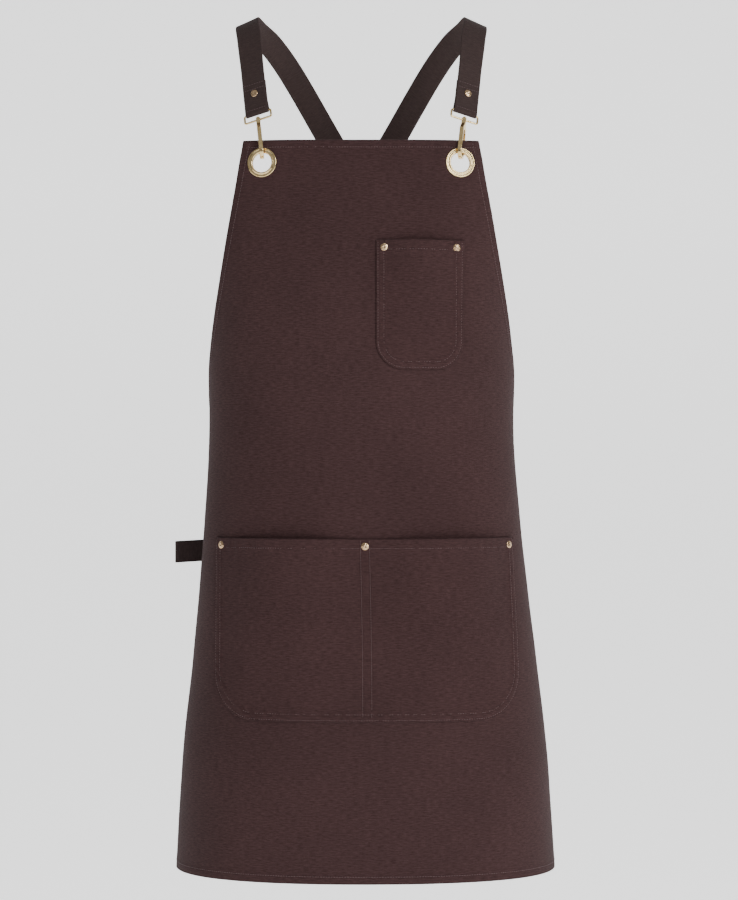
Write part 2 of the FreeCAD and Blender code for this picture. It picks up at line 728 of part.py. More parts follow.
def tab_solid():
    """Sewn tab: tape folded round the ring's lower bar, with the panel between its two legs."""
    near = WIRE_R + WIRE_GAP
    far = near + STRAP_T
    half = STRAP_WIDTH / 2
    turn = Part.makeCylinder(far, STRAP_WIDTH, Vector(-half, 0, 0), ACROSS)
    turn = turn.cut(Part.makeCylinder(near, STRAP_WIDTH, Vector(-half, 0, 0), ACROSS))
    turn = turn.cut(block((-half, -far, -far), (half, far, 0)))
    foot = -TAB_RISE - TAB_LEG
    legs = []
    for side, low in ((-1, TAB_INSIDE), (1, TAB_OUTSIDE)):
        high = low + STRAP_T
        leg = [
            (near, 0), (near, -TAB_NECK), (low, -TAB_RISE), (low, foot),
            (high, foot), (high, -TAB_RISE), (far, -TAB_NECK), (far, 0),
        ]
        points = [Vector(-half, side * y, z) for y, z in leg]
        legs.append(Part.Face(Part.makePolygon(points + points[:1])).extrude(ACROSS * STRAP_WIDTH))
    tab = fused([turn] + legs)
    tab.translate(Vector(0, 0, -RING_DROP))
    return tab


def ring_solid():
    return wire_loop(RING_DROP)


def slider_solid():
    """Three-bar slider: two bars outside the strap and one inside it, joined by side rails."""
    fold = WIRE_R + WIRE_GAP + STRAP_T / 2
    outside = fold + STRAP_T / 2 + LAYER_GAP
    inside = slider_bar_depth()
    half = STRAP_WIDTH / 2 + FRAME_SIDE_GAP
    rail_depths = (inside - SLIDER_BAR_T / 2, outside + SLIDER_BAR_T)
    parts = []
    for x in (-half - SLIDER_RAIL_T, half):
        low, high = (x, rail_depths[0], -SLIDER_HALF), (x + SLIDER_RAIL_T, rail_depths[1], SLIDER_HALF)
        parts.append(block(low, high))
    for z in (-SLIDER_HALF, SLIDER_HALF - SLIDER_BAR_W):
        parts.append(block((-half, outside, z), (half, outside + SLIDER_BAR_T, z + SLIDER_BAR_W)))
    middle = SLIDER_BAR_W / 2
    parts.append(block((-half, rail_depths[0], -middle), (half, inside + SLIDER_BAR_T / 2, middle)))
    slider = fused(parts)
    slider.translate(UP * SLIDER_HEIGHT)
    return slider


def return_depth():
    """Depth of the return layer's middle where it meets the slider's end loop."""
    return WIRE_R + WIRE_GAP + STRAP_T / 2 - STRAP_T - 2 * LAYER_GAP


def slider_bar_depth():
    return return_depth() - STRAP_T / 2 - LAYER_GAP - SLIDER_BAR_T / 2


def return_solid():
    """Return layer: round the ring's top bar and up the inside of the strap to the slider."""
    near = WIRE_R + WIRE_GAP
    far = near + STRAP_T
    half = STRAP_WIDTH / 2
    turn = Part.makeCylinder(far, STRAP_WIDTH, Vector(-half, 0, 0), ACROSS)
    turn = turn.cut(Part.makeCylinder(near, STRAP_WIDTH, Vector(-half, 0, 0), ACROSS))
    turn = turn.cut(block((-half, -far, 0), (half, far, far)))
    middle = return_depth()
    top = SLIDER_HEIGHT - LOOP_END - SLIDER_BAR_W
    low, high = middle - STRAP_T / 2, middle + STRAP_T / 2
    outline = [(-near, 0), (-far, 0), (low, top), (high, top)]
    points = [Vector(-half, y, z) for y, z in outline]
    layer = Part.Face(Part.makePolygon(points + points[:1])).extrude(ACROSS * STRAP_WIDTH)
    return fused([turn, layer])


def end_loop_solid():
    """End of the strap, looped round the slider's inner bar and sewn back on itself."""
    half = STRAP_WIDTH / 2
    middle = return_depth()
    bar = slider_bar_depth()
    near = SLIDER_BAR_T / 2 + LAYER_GAP
    far = near + STRAP_T
    rise = SLIDER_BAR_W / 2 + LAYER_GAP
    start = LAYER_LAP - LOOP_END - SLIDER_BAR_W
    strap_side = block((-half, middle - STRAP_T / 2, start), (half, middle + STRAP_T / 2, rise))
    body_side = block((-half, bar - far, -LOOP_END), (half, bar - near, rise))
    turn = Part.makeCylinder(far, STRAP_WIDTH, Vector(-half, bar, rise), ACROSS)
    turn = turn.cut(Part.makeCylinder(near, STRAP_WIDTH, Vector(-half, bar, rise), ACROSS))
    turn = turn.cut(block((-half, bar - far, rise - far), (half, bar + far, rise)))
    loop = fused([strap_side, body_side, turn])
    loop.translate(UP * SLIDER_HEIGHT)
    return loop


# ---------------------------------------------------------------- assembly

def mirrored(shape):
    return shape.mirror(ORIGIN, ACROSS)


def side_parts(side):
    """Everything that belongs to one shoulder strap, modelled on the right and mirrored for the left."""
    bar, across, up = front_end()
    ring, back_across, back_up = back_end()
    cap, post, hole = (placed(part, bar, across, up) for part in strap_rivet())
    shift = CROSSING_GAP if side == "right" else -CROSSING_GAP
    swivel = bar - up * FRAME_DROP
    rear = up.cross(across)
    turn = FreeCAD.Rotation(up, -SWIVEL_REST[side])
    plane = turn.multVec(rear)

    def at_front(shape):
        return placed(shape, bar, across, up)

    def at_hook(shape):
        return placed(shape, swivel, plane, up)

    def at_back(shape):
        return placed(shape, ring, back_across, back_up)

    parts = {
        "strap": strap_solid(shift).cut(hole),
        "strap_rivet_cap": cap,
        "strap_rivet_post": post,
        "hook_frame": at_front(hook_frame_solid()),
        "hook_body": at_hook(hook_solid()),
        "hook_gate": at_hook(gate_solid()),
        "gate_pin": at_hook(gate_pin_solid()),
        "gate_spring": at_hook(gate_spring_solid()),
        "ring_tab": at_back(tab_solid()),
        "strap_ring": at_back(ring_solid()),
        "strap_slider": at_back(slider_solid()),
        "strap_return": at_back(return_solid()),
        "strap_end_loop": at_back(end_loop_solid()),
        "eyelet": on_cloth(eyelet_solid(), EYELET_GIRTH, EYELET_Z, CLOTH),
        "eyelet_washer": on_cloth(washer_solid(), EYELET_GIRTH, EYELET_Z, CLOTH),
    }
    if side == "left":
        parts = {name: mirrored(shape) for name, shape in parts.items()}
    return {f"{side}_{name}": shape for name, shape in parts.items()}


def build():
    chest_caps, chest_posts, chest_holes = pocket_rivets(CHEST_RIVET_GIRTHS, CHEST_RIVET_Z)
    waist_caps, waist_posts, waist_holes = pocket_rivets(WAIST_RIVET_GIRTHS, WAIST_RIVET_Z)
    eyelet_hole = through_hole(EYELET_BARREL_R + HOLE_GAP, HOLE_REACH)
    eyelet_holes = [on_cloth(eyelet_hole, girth, EYELET_Z, CLOTH) for girth in (-EYELET_GIRTH, EYELET_GIRTH)]
    parts = {
        "apron_panel": panel_solid().cut(eyelet_holes + chest_holes + waist_holes),
        "chest_pocket": chest_pocket_solid().cut(chest_holes),
        "waist_pocket": waist_pocket_solid().cut(waist_holes),
        "chest_pocket_rivet_caps": Part.Compound(chest_caps),
        "chest_pocket_rivet_posts": Part.Compound(chest_posts),
        "waist_pocket_rivet_caps": Part.Compound(waist_caps),
        "waist_pocket_rivet_posts": Part.Compound(waist_posts),
        "towel_loop": towel_loop_solid(),
    }
    for side in ("left", "right"):
        parts.update(side_parts(side))
    return parts


def report(parts):
    """Prints each piece's state, and the axes that the joints turn and slide on."""
    for name, shape in parts.items():
        print(name, shape.ShapeType, len(shape.Solids), shape.isValid(), round(shape.Volume, 1))
    bar, across, up = front_end()
    ring, back_across, back_up = back_end()
    rear = up.cross(across)
    for side, turn in SWIVEL_REST.items():
        plane = FreeCAD.Rotation(up, -turn).multVec(rear)
        pivot = bar - up * FRAME_DROP + plane * GATE_PIVOT[0] + up * GATE_PIVOT[1]
        print(side, "gate pivot", pivot, "axis", up.cross(plane))
    print("frame bar", bar, "across", across, "up", up)
    print("ring bar", ring, "across", back_across, "up", back_up)


def main():
    os.makedirs("parts", exist_ok=True)
    parts = build()
    for name, shape in parts.items():
        shape.exportStep(f"parts/{name}.step")
    report(parts)


main()
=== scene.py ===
import json
import math

import bpy
import numpy as np
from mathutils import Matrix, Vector


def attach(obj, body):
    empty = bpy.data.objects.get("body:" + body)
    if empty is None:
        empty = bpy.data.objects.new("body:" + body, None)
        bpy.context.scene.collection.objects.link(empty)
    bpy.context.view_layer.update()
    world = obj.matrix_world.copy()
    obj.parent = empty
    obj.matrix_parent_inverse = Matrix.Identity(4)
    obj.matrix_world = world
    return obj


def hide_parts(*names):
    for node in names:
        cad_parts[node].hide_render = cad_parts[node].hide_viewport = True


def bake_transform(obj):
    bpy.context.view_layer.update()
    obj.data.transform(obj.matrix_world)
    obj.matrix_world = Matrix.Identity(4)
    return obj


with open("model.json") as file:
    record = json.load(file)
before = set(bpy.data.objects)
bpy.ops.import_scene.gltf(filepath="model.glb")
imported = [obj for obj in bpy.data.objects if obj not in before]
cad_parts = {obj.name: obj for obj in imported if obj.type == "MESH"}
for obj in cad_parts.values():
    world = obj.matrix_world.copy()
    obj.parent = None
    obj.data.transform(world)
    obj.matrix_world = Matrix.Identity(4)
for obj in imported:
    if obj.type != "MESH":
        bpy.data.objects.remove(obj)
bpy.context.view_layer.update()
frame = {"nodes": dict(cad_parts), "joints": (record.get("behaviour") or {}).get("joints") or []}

# Butcher apron with cross-back straps. Metres, +Z up, the front faces -Y.
# "Right" pieces are made at +X and mirrored for "left".

MM = 0.001

# Worn form: height, half width, front, side line, depth behind the side line, squareness, drift.
# The drift is how far the cloth hangs off to the right of the middle.
FORM = np.array([
    (-1014, 227.5, -125, 20, 76, 2.3, 5.0),
    (-880, 219.0, -124, 16, 74, 2.3, 4.2),
    (-760, 205.5, -121, 12, 70, 2.3, 4.0),
    (-620, 191.0, -114, 8, 66, 2.3, 1.5),
    (-500, 182.0, -111, 6, 62, 2.3, 0.0),
    (-400, 183.0, -116, 6, 66, 2.4, 0.0),
    (-300, 183.0, -116, 8, 68, 2.8, 0.0),
    (-152, 165.0, -98, 8, 66, 4.5, 0.0),
])
CLOTH = 1.2
BIB_TOP, WAIST, HEM = -152.0, -502.0, -1014.0
BIB_HALF, SKIRT_HALF = 138.5, 308.0
ARMHOLE_SWEEP, ARMHOLE_DROP = 0.36, 0.86
CHEST = {"inner": 18.0, "outer": 119.5, "top": -270.0, "bottom": -418.5, "corner": 32.0}
POUCH = {"middle": 4.0, "half": 190.5, "top": -616.5, "bottom": -827.0, "corner": 58.0}
POUCH_SEAM = 3.0
SEAM_HALF = 5.2
CHEST_SWELL, POUCH_SWELL = 5.0, 7.0
HEM_WIDTH, POCKET_HEM = 9.5, 12.0
HEM_SEAM, POCKET_HEM_SEAM = HEM_WIDTH - 1.3, POCKET_HEM - 1.4
PANEL_FACE = CLOTH - 0.15
PATCH_FACE = 2 * CLOTH + 0.55
EYELET_GIRTH, EYELET_Z = 115.6, -178.0
EYELET_BORE, EYELET_FLANGE = 11.5, 17.5
STRAP_WIDTH, STRAP_T = 30.0, 1.6
TAB_GIRTH, TAB_Z = 290.0, -503.0
CROSSING = np.array([0.0, 92.0, -198.0])
CROSSING_GAP = 1.5


# ---------------------------------------------------------------- worn form

def hermite(places, values, at):
    """Smooth curve through values at rising places, as a row of values for each place asked for."""
    places, values = np.asarray(places, float), np.asarray(values, float)
    last = len(places) - 1
    at = np.clip(np.atleast_1d(at), places[0], places[last])
    i = np.clip(np.searchsorted(places, at, side="right") - 1, 0, last - 1)
    slopes = np.empty_like(values)
    for k in range(last + 1):
        low, high = max(k - 1, 0), min(k + 1, last)
        slopes[k] = (values[high] - values[low]) / (places[high] - places[low])
    step = places[i + 1] - places[i]
    t = (at - places[i]) / step
    shape = (-1,) + (1,) * (values.ndim - 1)
    t, step = t.reshape(shape), step.reshape(shape)
    return (values[i] * (2 * t**3 - 3 * t**2 + 1) + slopes[i] * step * (t**3 - 2 * t**2 + t)
            + values[i + 1] * (3 * t**2 - 2 * t**3) + slopes[i + 1] * step * (t**3 - t**2))


TABLE_STEP = 2.0
TABLE_Z = np.arange(HEM - 20, BIB_TOP + 30, TABLE_STEP)
TABLE_G = np.arange(-340, 340.1, TABLE_STEP)


def section_row(row):
    """Points of the form at one height, at the table's girths."""
    z, half, front, side, back, square, drift = row
    angle = np.linspace(0, math.pi, 361)
    squared = 2 / np.where(angle < math.pi / 2, square, 2.0)
    depth = np.where(angle < math.pi / 2, side - front, back)
    x = half * np.sin(angle) ** squared
    y = side - depth * np.sign(np.cos(angle)) * np.abs(np.cos(angle)) ** squared
    girth = np.concatenate([[0], np.cumsum(np.hypot(np.diff(x), np.diff(y)))])
    wide = np.abs(TABLE_G)
    return np.stack([drift + np.sign(TABLE_G) * np.interp(wide, girth, x), np.interp(wide, girth, y),
                     np.full_like(wide, z)], axis=1)


def form_table():
    """Points and outward normals of the form, by height and girth."""
    heights = FORM[:, 0]
    columns = hermite(heights, FORM[:, 1:], np.clip(TABLE_Z, heights[0], heights[-1]))
    points = np.array([section_row((z, *row)) for z, row in zip(TABLE_Z, columns)])
    rise = np.gradient(points, TABLE_STEP, axis=0)
    around = np.gradient(points, TABLE_STEP, axis=1)
    normals = np.cross(around, rise)
    normals /= np.linalg.norm(normals, axis=2, keepdims=True)
    return points, normals


FORM_POINTS, FORM_NORMALS = form_table()


def lookup(table, girth, z):
    """Value of the form's table between its nodes."""
    u = np.clip((np.asarray(girth, float) - TABLE_G[0]) / TABLE_STEP, 0, len(TABLE_G) - 1.001)
    v = np.clip((np.asarray(z, float) - TABLE_Z[0]) / TABLE_STEP, 0, len(TABLE_Z) - 1.001)
    i, j = v.astype(int), u.astype(int)
    s, t = (u - j)[..., None], (v - i)[..., None]
    return ((table[i, j] * (1 - s) + table[i, j + 1] * s) * (1 - t)
            + (table[i + 1, j] * (1 - s) + table[i + 1, j + 1] * s) * t)


def unit(v):
    return v / np.linalg.norm(v, axis=-1, keepdims=True)


def cloth_normal(girth, z):
    return unit(lookup(FORM_NORMALS, girth, z))


EYELET_CENTRES = [lookup(FORM_POINTS, side * EYELET_GIRTH, EYELET_Z) for side in (-1, 1)]
EYELET_NORMALS = [cloth_normal(side * EYELET_GIRTH, EYELET_Z) for side in (-1, 1)]
FLAT_CORE, FLAT_FADE = 19.0, 34.0


def smooth_step(x):
    x = np.clip(x, 0, 1)
    return x * x * (3 - 2 * x)


def cloth(girth, z, lift):
    """Points at a height above the form, with the cloth flattened under each eyelet."""
    girth, z = np.broadcast_arrays(np.asarray(girth, float), np.asarray(z, float))
    points = lookup(FORM_POINTS, girth, z)
    normals = cloth_normal(girth, z)
    for centre, normal in zip(EYELET_CENTRES, EYELET_NORMALS):
        away = points - centre
        near = 1 - smooth_step((np.linalg.norm(away, axis=-1) - FLAT_CORE) / (FLAT_FADE - FLAT_CORE))
        points = points - normal * (near * (away @ normal))[..., None]
        normals = unit(normals * (1 - near[..., None]) + normal * near[..., None])
    return points + normals * np.asarray(lift, float)[..., None]


# ---------------------------------------------------------------- mesh helpers

def mesh_piece(name, points, faces, uv=None, material=None, body="apron", slot="canvas"):
    """A mesh object from points in millimetres, riding on a body if it has one."""
    mesh = bpy.data.meshes.new(name)
    mesh.from_pydata((np.asarray(points) * MM).tolist(), [], [list(map(int, f)) for f in faces])
    mesh.validate()
    if uv is not None:
        layer = mesh.uv_layers.new(name="cloth")
        index = np.empty(len(mesh.loops), int)
        mesh.loops.foreach_get("vertex_index", index)
        layer.data.foreach_set("uv", (np.asarray(uv, float)[index] * MM).ravel())
    mesh.polygons.foreach_set("use_smooth", [True] * len(mesh.polygons))
    piece = bpy.data.objects.new(name, mesh)
    bpy.context.scene.collection.objects.link(piece)
    if material:
        mesh.materials.append(material)
    if body:
        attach(piece, body)
    return piece


def grid_faces(rows, columns, offset=0, flip=False):
    """Quads over a grid of points numbered row by row."""
    i, j = np.meshgrid(np.arange(rows - 1), np.arange(columns - 1), indexing="ij")
    a = offset + i * columns + j
    quads = np.stack([a, a + 1, a + columns + 1, a + columns], axis=-1).reshape(-1, 4)
    return quads[:, ::-1] if flip else quads


def border(rows, columns):
    """Numbers of a grid's border points in order round it."""
    top = np.arange(columns)
    right = np.arange(1, rows) * columns + columns - 1
    bottom = np.arange(columns - 2, -1, -1) + (rows - 1) * columns
    left = np.arange(rows - 2, 0, -1) * columns
    return np.concatenate([top, right, bottom, left])


def sheet_piece(name, girth, z, front, back, **kwargs):
    """Closed sheet over a grid of girths and heights, from a back lift to a front lift, with round rims."""
    rows, columns = girth.shape
    outer, inner = cloth(girth, z, front), cloth(girth, z, back)
    count = rows * columns
    loop = border(rows, columns)
    a, b = outer.reshape(-1, 3)[loop], inner.reshape(-1, 3)[loop]
    along = unit(np.roll(a, -1, axis=0) - np.roll(a, 1, axis=0))
    away = np.cross(along, unit(a - b))
    centre = outer.reshape(-1, 3).mean(axis=0)
    if np.mean(np.sum(away * (a - centre), axis=1)) < 0:
        away = -away
    rim = (a + b) / 2 + away * np.linalg.norm(a - b, axis=1, keepdims=True) * 0.35
    points = np.concatenate([outer.reshape(-1, 3), inner.reshape(-1, 3), rim])
    faces = list(grid_faces(rows, columns)) + list(grid_faces(rows, columns, count, flip=True))
    n = len(loop)
    for k in range(n):
        j = (k + 1) % n
        faces.append((loop[j], loop[k], 2 * count + k, 2 * count + j))
        faces.append((2 * count + j, 2 * count + k, count + loop[k], count + loop[j]))
    flat = np.stack([girth, z], axis=-1).reshape(-1, 2)
    uv = np.concatenate([flat, flat, flat[loop]])
    return mesh_piece(name, points, faces, uv=uv, **kwargs)


def waves(girth, z, seed, wavelength, count=9):
    """Gentle unevenness between about -1 and 1, made of a few sine waves."""
    local = np.random.default_rng(seed)
    total = np.zeros(np.broadcast(girth, z).shape)
    for _ in range(count):
        angle = local.uniform(0, math.pi)
        length = wavelength * local.uniform(0.6, 1.7)
        phase = local.uniform(0, 2 * math.pi)
        total += np.sin((girth * math.cos(angle) + z * math.sin(angle)) * 2 * math.pi / length + phase)
    return total / math.sqrt(count)


def hem_relief(distance, along, stitches, seed):
    """Lift of a sewn hem by distance from its edge: puffed between seams, pulled in and puckered at them."""
    width = max(stitches) + 1.5
    puff = 0.55 * (1 - smooth_step((distance - width) / 1.6))
    for place in stitches:
        pull = np.exp(-((distance - place) / 1.1) ** 2)
        puff = puff - 0.45 * pull
    local = np.random.default_rng(seed)
    lengths = local.uniform(7.0, 16.0, 6)
    phases = local.uniform(0, 2 * math.pi, 6)
    pucker = sum(np.sin(along * 2 * math.pi / length + phase) for length, phase in zip(lengths, phases))
    fade = np.exp(-((distance - stitches[-1]) / 8.0) ** 2)
    return puff + 0.16 * pucker * fade


def spaced(low, high, fine, coarse, band):
    """Places from low to high, fine inside a band at both ends and coarse between."""
    ends = np.arange(0, band + fine / 2, fine)
    middle = np.linspace(low + band, high - band, max(int((high - low - 2 * band) / coarse), 2) + 1)
    return np.unique(np.round(np.concatenate([low + ends, middle, high - ends]), 4))


# ---------------------------------------------------------------- materials

def new_material(name):
    material = bpy.data.materials.new(name)
    material.use_nodes = True
    nodes = material.node_tree.nodes
    return material, nodes, material.node_tree.links, nodes["Principled BSDF"]


def node(nodes, kind, **values):
    made = nodes.new(kind)
    for key, value in values.items():
        if key in made.inputs:
            made.inputs[key].default_value = value
        else:
            setattr(made, key, value)
    return made


def ramp(nodes, stops):
    made = nodes.new("ShaderNodeValToRGB")
    elements = made.color_ramp.elements
    while len(elements) < len(stops):
        elements.new(0.5)
    for element, (place, colour) in zip(elements, stops):
        element.position = place
        element.color = (*colour, 1)
    return made


def mapped(nodes, links, scale, source="UV"):
    """Coordinates in metres, stretched by a scale: the sheet's own flat ones, or the object's."""
    if source == "UV":
        start = node(nodes, "ShaderNodeUVMap", uv_map="cloth").outputs["UV"]
    else:
        start = nodes.new("ShaderNodeTexCoord").outputs["Object"]
    mapping = nodes.new("ShaderNodeMapping")
    mapping.inputs["Scale"].default_value = scale
    links.new(start, mapping.inputs["Vector"])
    return mapping.outputs["Vector"]


def mixed(nodes, links, kind, factor, a, b):
    made = node(nodes, "ShaderNodeMix", data_type="RGBA", blend_type=kind)
    made.inputs["Factor"].default_value = factor
    links.new(a, made.inputs["A"])
    links.new(b, made.inputs["B"])
    return made.outputs["Result"]


def maths(nodes, links, operation, a, b):
    made = node(nodes, "ShaderNodeMath", operation=operation)
    for socket, value in zip(made.inputs, (a, b)):
        if isinstance(value, (int, float)):
            socket.default_value = value
        else:
            links.new(value, socket)
    return made.outputs["Value"]


def canvas_material(name, dark, light, pitch=0.0012, slub=1.0, relief=0.0006, rough=0.88):
    """Plain weave: crossed threads, thick and thin weft slubs, and broad unevenness of the dye."""
    material, nodes, links, shader = new_material(name)
    flat = mapped(nodes, links, (1, 1, 1))
    weft = node(nodes, "ShaderNodeTexWave", wave_type="BANDS", bands_direction="Y", wave_profile="SIN",
                Scale=0.31416 / pitch, Distortion=1.2, Detail=2.0)
    weft.inputs["Detail Scale"].default_value = 1.4
    warp = node(nodes, "ShaderNodeTexWave", wave_type="BANDS", bands_direction="X", wave_profile="SIN",
                Scale=0.31416 / (pitch * 0.8), Distortion=1.0, Detail=2.0)
    links.new(flat, weft.inputs["Vector"])
    links.new(flat, warp.inputs["Vector"])
    slubs = node(nodes, "ShaderNodeTexNoise", Scale=1.0, Detail=4.0, Roughness=0.7)
    links.new(mapped(nodes, links, (140, 700, 1)), slubs.inputs["Vector"])
    streaks = node(nodes, "ShaderNodeTexNoise", Scale=1.0, Detail=3.0, Roughness=0.6)
    links.new(mapped(nodes, links, (600, 40, 1)), streaks.inputs["Vector"])
    broad = node(nodes, "ShaderNodeTexNoise", Scale=9.0, Detail=4.0, Roughness=0.6)
    links.new(flat, broad.inputs["Vector"])
    base = ramp(nodes, [(0.33, dark), (0.68, light)])
    links.new(slubs.outputs["Fac"], base.inputs["Fac"])
    tone = ramp(nodes, [(0.3, (0.9, 0.9, 0.9)), (0.7, (1.1, 1.1, 1.1))])
    links.new(broad.outputs["Fac"], tone.inputs["Fac"])
    fine = ramp(nodes, [(0.25, (0.85, 0.85, 0.85)), (0.75, (1.15, 1.15, 1.15))])
    crossing = maths(nodes, links, "MULTIPLY", weft.outputs["Fac"], warp.outputs["Fac"])
    uneven = maths(nodes, links, "MULTIPLY", streaks.outputs["Fac"], 0.45)
    threads = maths(nodes, links, "ADD", crossing, uneven)
    links.new(threads, fine.inputs["Fac"])
    colour = mixed(nodes, links, "MULTIPLY", 0.8 * slub, base.outputs["Color"], tone.outputs["Color"])
    colour = mixed(nodes, links, "MULTIPLY", 1.0, colour, fine.outputs["Color"])
    links.new(colour, shader.inputs["Base Color"])
    height = maths(nodes, links, "ADD", crossing, maths(nodes, links, "MULTIPLY", slubs.outputs["Fac"], 1.3))
    bump = node(nodes, "ShaderNodeBump", Strength=0.55, Distance=relief)
    links.new(height, bump.inputs["Height"])
    links.new(bump.outputs["Normal"], shader.inputs["Normal"])
    shader.inputs["Roughness"].default_value = rough
    shader.inputs["Specular IOR Level"].default_value = 0.12
    shader.inputs["Sheen Weight"].default_value = 0.03
    shader.inputs["Sheen Roughness"].default_value = 0.5
    return material


def brass_material(name, bright, deep, roughness=0.24, brushed=0.0):
    """Polished pale brass with a faint uneven tarnish and fine rubbing marks."""
    material, nodes, links, shader = new_material(name)
    place = mapped(nodes, links, (1, 1, 1), "Object")
    tarnish = node(nodes, "ShaderNodeTexNoise", Scale=260.0, Detail=5.0, Roughness=0.62)
    links.new(place, tarnish.inputs["Vector"])
    colour = ramp(nodes, [(0.32, deep), (0.62, bright)])
    links.new(tarnish.outputs["Fac"], colour.inputs["Fac"])
    links.new(colour.outputs["Color"], shader.inputs["Base Color"])
    rubbed = node(nodes, "ShaderNodeTexNoise", Scale=1.0, Detail=3.0)
    links.new(mapped(nodes, links, (2500, 2500, 350), "Object"), rubbed.inputs["Vector"])
    rough = node(nodes, "ShaderNodeMapRange")
    rough.inputs["To Min"].default_value = roughness * 0.7
    rough.inputs["To Max"].default_value = roughness * 1.5
    links.new(rubbed.outputs["Fac"], rough.inputs["Value"])
    links.new(rough.outputs["Result"], shader.inputs["Roughness"])
    bump = node(nodes, "ShaderNodeBump", Strength=0.12 + brushed, Distance=0.0002)
    links.new(rubbed.outputs["Fac"], bump.inputs["Height"])
    links.new(bump.outputs["Normal"], shader.inputs["Normal"])
    shader.inputs["Metallic"].default_value = 1.0
    return material


def thread_material(name, dark, light):
    """Twisted sewing thread."""
    material, nodes, links, shader = new_material(name)
    twist = node(nodes, "ShaderNodeTexNoise", Scale=1.0, Detail=2.0)
    links.new(mapped(nodes, links, (1800, 1800, 1800), "Object"), twist.inputs["Vector"])
    colour = ramp(nodes, [(0.35, dark), (0.65, light)])
    links.new(twist.outputs["Fac"], colour.inputs["Fac"])
    links.new(colour.outputs["Color"], shader.inputs["Base Color"])
    bump = node(nodes, "ShaderNodeBump", Strength=0.5, Distance=0.0002)
    links.new(twist.outputs["Fac"], bump.inputs["Height"])
    links.new(bump.outputs["Normal"], shader.inputs["Normal"])
    shader.inputs["Roughness"].default_value = 0.6
    return material


CANVAS = canvas_material("canvas", (0.0355, 0.0172, 0.0172), (0.069, 0.0355, 0.0355))
POCKET_CANVAS = canvas_material("pocket_canvas", (0.0355, 0.0170, 0.0170), (0.069, 0.035, 0.035))
WEBBING = canvas_material("webbing", (0.038, 0.0245, 0.0232), (0.058, 0.038, 0.0358), pitch=0.0008,
                          slub=0.6, relief=0.0004, rough=0.8)
# The towel loop's tape is the strap webbing coloured about a quarter darker: painted shade for a loop that
# sits at the side and faces away from the light.
SHADED_TAPE = canvas_material("tape", (0.026, 0.0165, 0.016), (0.044, 0.028, 0.027), pitch=0.0012, slub=0.5,
                       relief=0.0006, rough=0.8)
THREAD = thread_material("thread", (0.085, 0.048, 0.049), (0.14, 0.083, 0.086))
BRASS = brass_material("pale_brass", (0.86, 0.67, 0.36), (0.66, 0.47, 0.21), roughness=0.17)
RIVET_BRASS = brass_material("rivet_brass", (0.66, 0.47, 0.29), (0.42, 0.27, 0.15), roughness=0.17)
STEEL = brass_material("spring_steel", (0.62, 0.62, 0.63), (0.45, 0.45, 0.46), roughness=0.3, brushed=0.1)


# ---------------------------------------------------------------- stitches

STITCH_PITCH, STITCH_LENGTH, STITCH_R, STITCH_RISE = 3.1, 2.4, 0.3, 0.12
STITCH_RINGS, STITCH_SIDES = 5, 6


def walk(path, step):
    """Even places along a path of points: positions and running lengths."""
    lengths = np.concatenate([[0], np.cumsum(np.linalg.norm(np.diff(path, axis=0), axis=1))])
    count = max(int(lengths[-1] / step), 1)
    places = np.linspace(0, lengths[-1], count + 1)
    return np.stack([np.interp(places, lengths, path[:, k]) for k in range(path.shape[1])], axis=1), places


def stitches(name, paths, body="apron"):
    """Rows of separate stitches. Each path is points with their normals, as rows of six numbers."""
    points, faces = [], []
    angles = np.arange(STITCH_SIDES) * 2 * math.pi / STITCH_SIDES
    for path in paths:
        stops, _ = walk(np.asarray(path, float), STITCH_PITCH)
        for a, b in zip(stops, stops[1:]):
            start, end = a[:3], b[:3]
            normal = unit(a[3:] + b[3:])
            along = end - start
            length = np.linalg.norm(along)
            if length < 0.5:
                continue
            along = along / length
            side = np.cross(along, normal)
            half = min(STITCH_LENGTH, length * 0.82) / 2
            middle = (start + end) / 2
            base = len(points)
            for ring in range(STITCH_RINGS):
                t = ring / (STITCH_RINGS - 1) * 2 - 1
                r = STITCH_R * math.sqrt(max(1 - (0.93 * t) ** 2, 0.05))
                centre = middle + along * half * t
                centre = centre + normal * (STITCH_RISE + STITCH_R * 0.75 * (0.6 - t * t))
                for angle in angles:
                    points.append(centre + side * r * math.cos(angle) + normal * r * math.sin(angle))
            for ring in range(STITCH_RINGS - 1):
                for k in range(STITCH_SIDES):
                    j = (k + 1) % STITCH_SIDES
                    low = base + ring * STITCH_SIDES
                    faces.append((low + k, low + j, low + STITCH_SIDES + j, low + STITCH_SIDES + k))
            faces.append([base + k for k in range(STITCH_SIDES)][::-1])
            faces.append([base + (STITCH_RINGS - 1) * STITCH_SIDES + k for k in range(STITCH_SIDES)])
    return mesh_piece(name, points, faces, material=THREAD, body=body, slot="thread")


def cloth_path(girth, z, lift):
    """Stitch path over the cloth."""
    girth, z = np.broadcast_arrays(np.asarray(girth, float), np.asarray(z, float))
    return np.concatenate([cloth(girth, z, lift), cloth_normal(girth, z)], axis=-1)


# ---------------------------------------------------------------- panel

# A hem along the slanting armhole is this much wider along the girth at most.
MOST_WIDE = 2.2


def bib_edge(t):
    """Half width and height of the bib's armhole edge."""
    half = BIB_HALF + (SKIRT_HALF - BIB_HALF) * (2 * ARMHOLE_SWEEP * t * (1 - t) + t * t)
    return half, BIB_TOP + (WAIST - BIB_TOP) * (2 * ARMHOLE_DROP * t * (1 - t) + t * t)


def panel_rows():
    """Rows of the panel: half width, height, and how much a hem widens along the girth."""
    bib_t = np.concatenate([np.linspace(0, 0.032, 13), np.linspace(0.04, 1, 100)])
    half, z = bib_edge(bib_t)
    low = np.concatenate([np.linspace(WAIST - 5, HEM + 16, 100), np.linspace(HEM + 15, HEM, 16)])
    half = np.concatenate([half, np.full(len(low), SKIRT_HALF)])
    z = np.concatenate([z, low])
    slope = np.gradient(half, z)
    return half, z, np.sqrt(1 + slope**2)


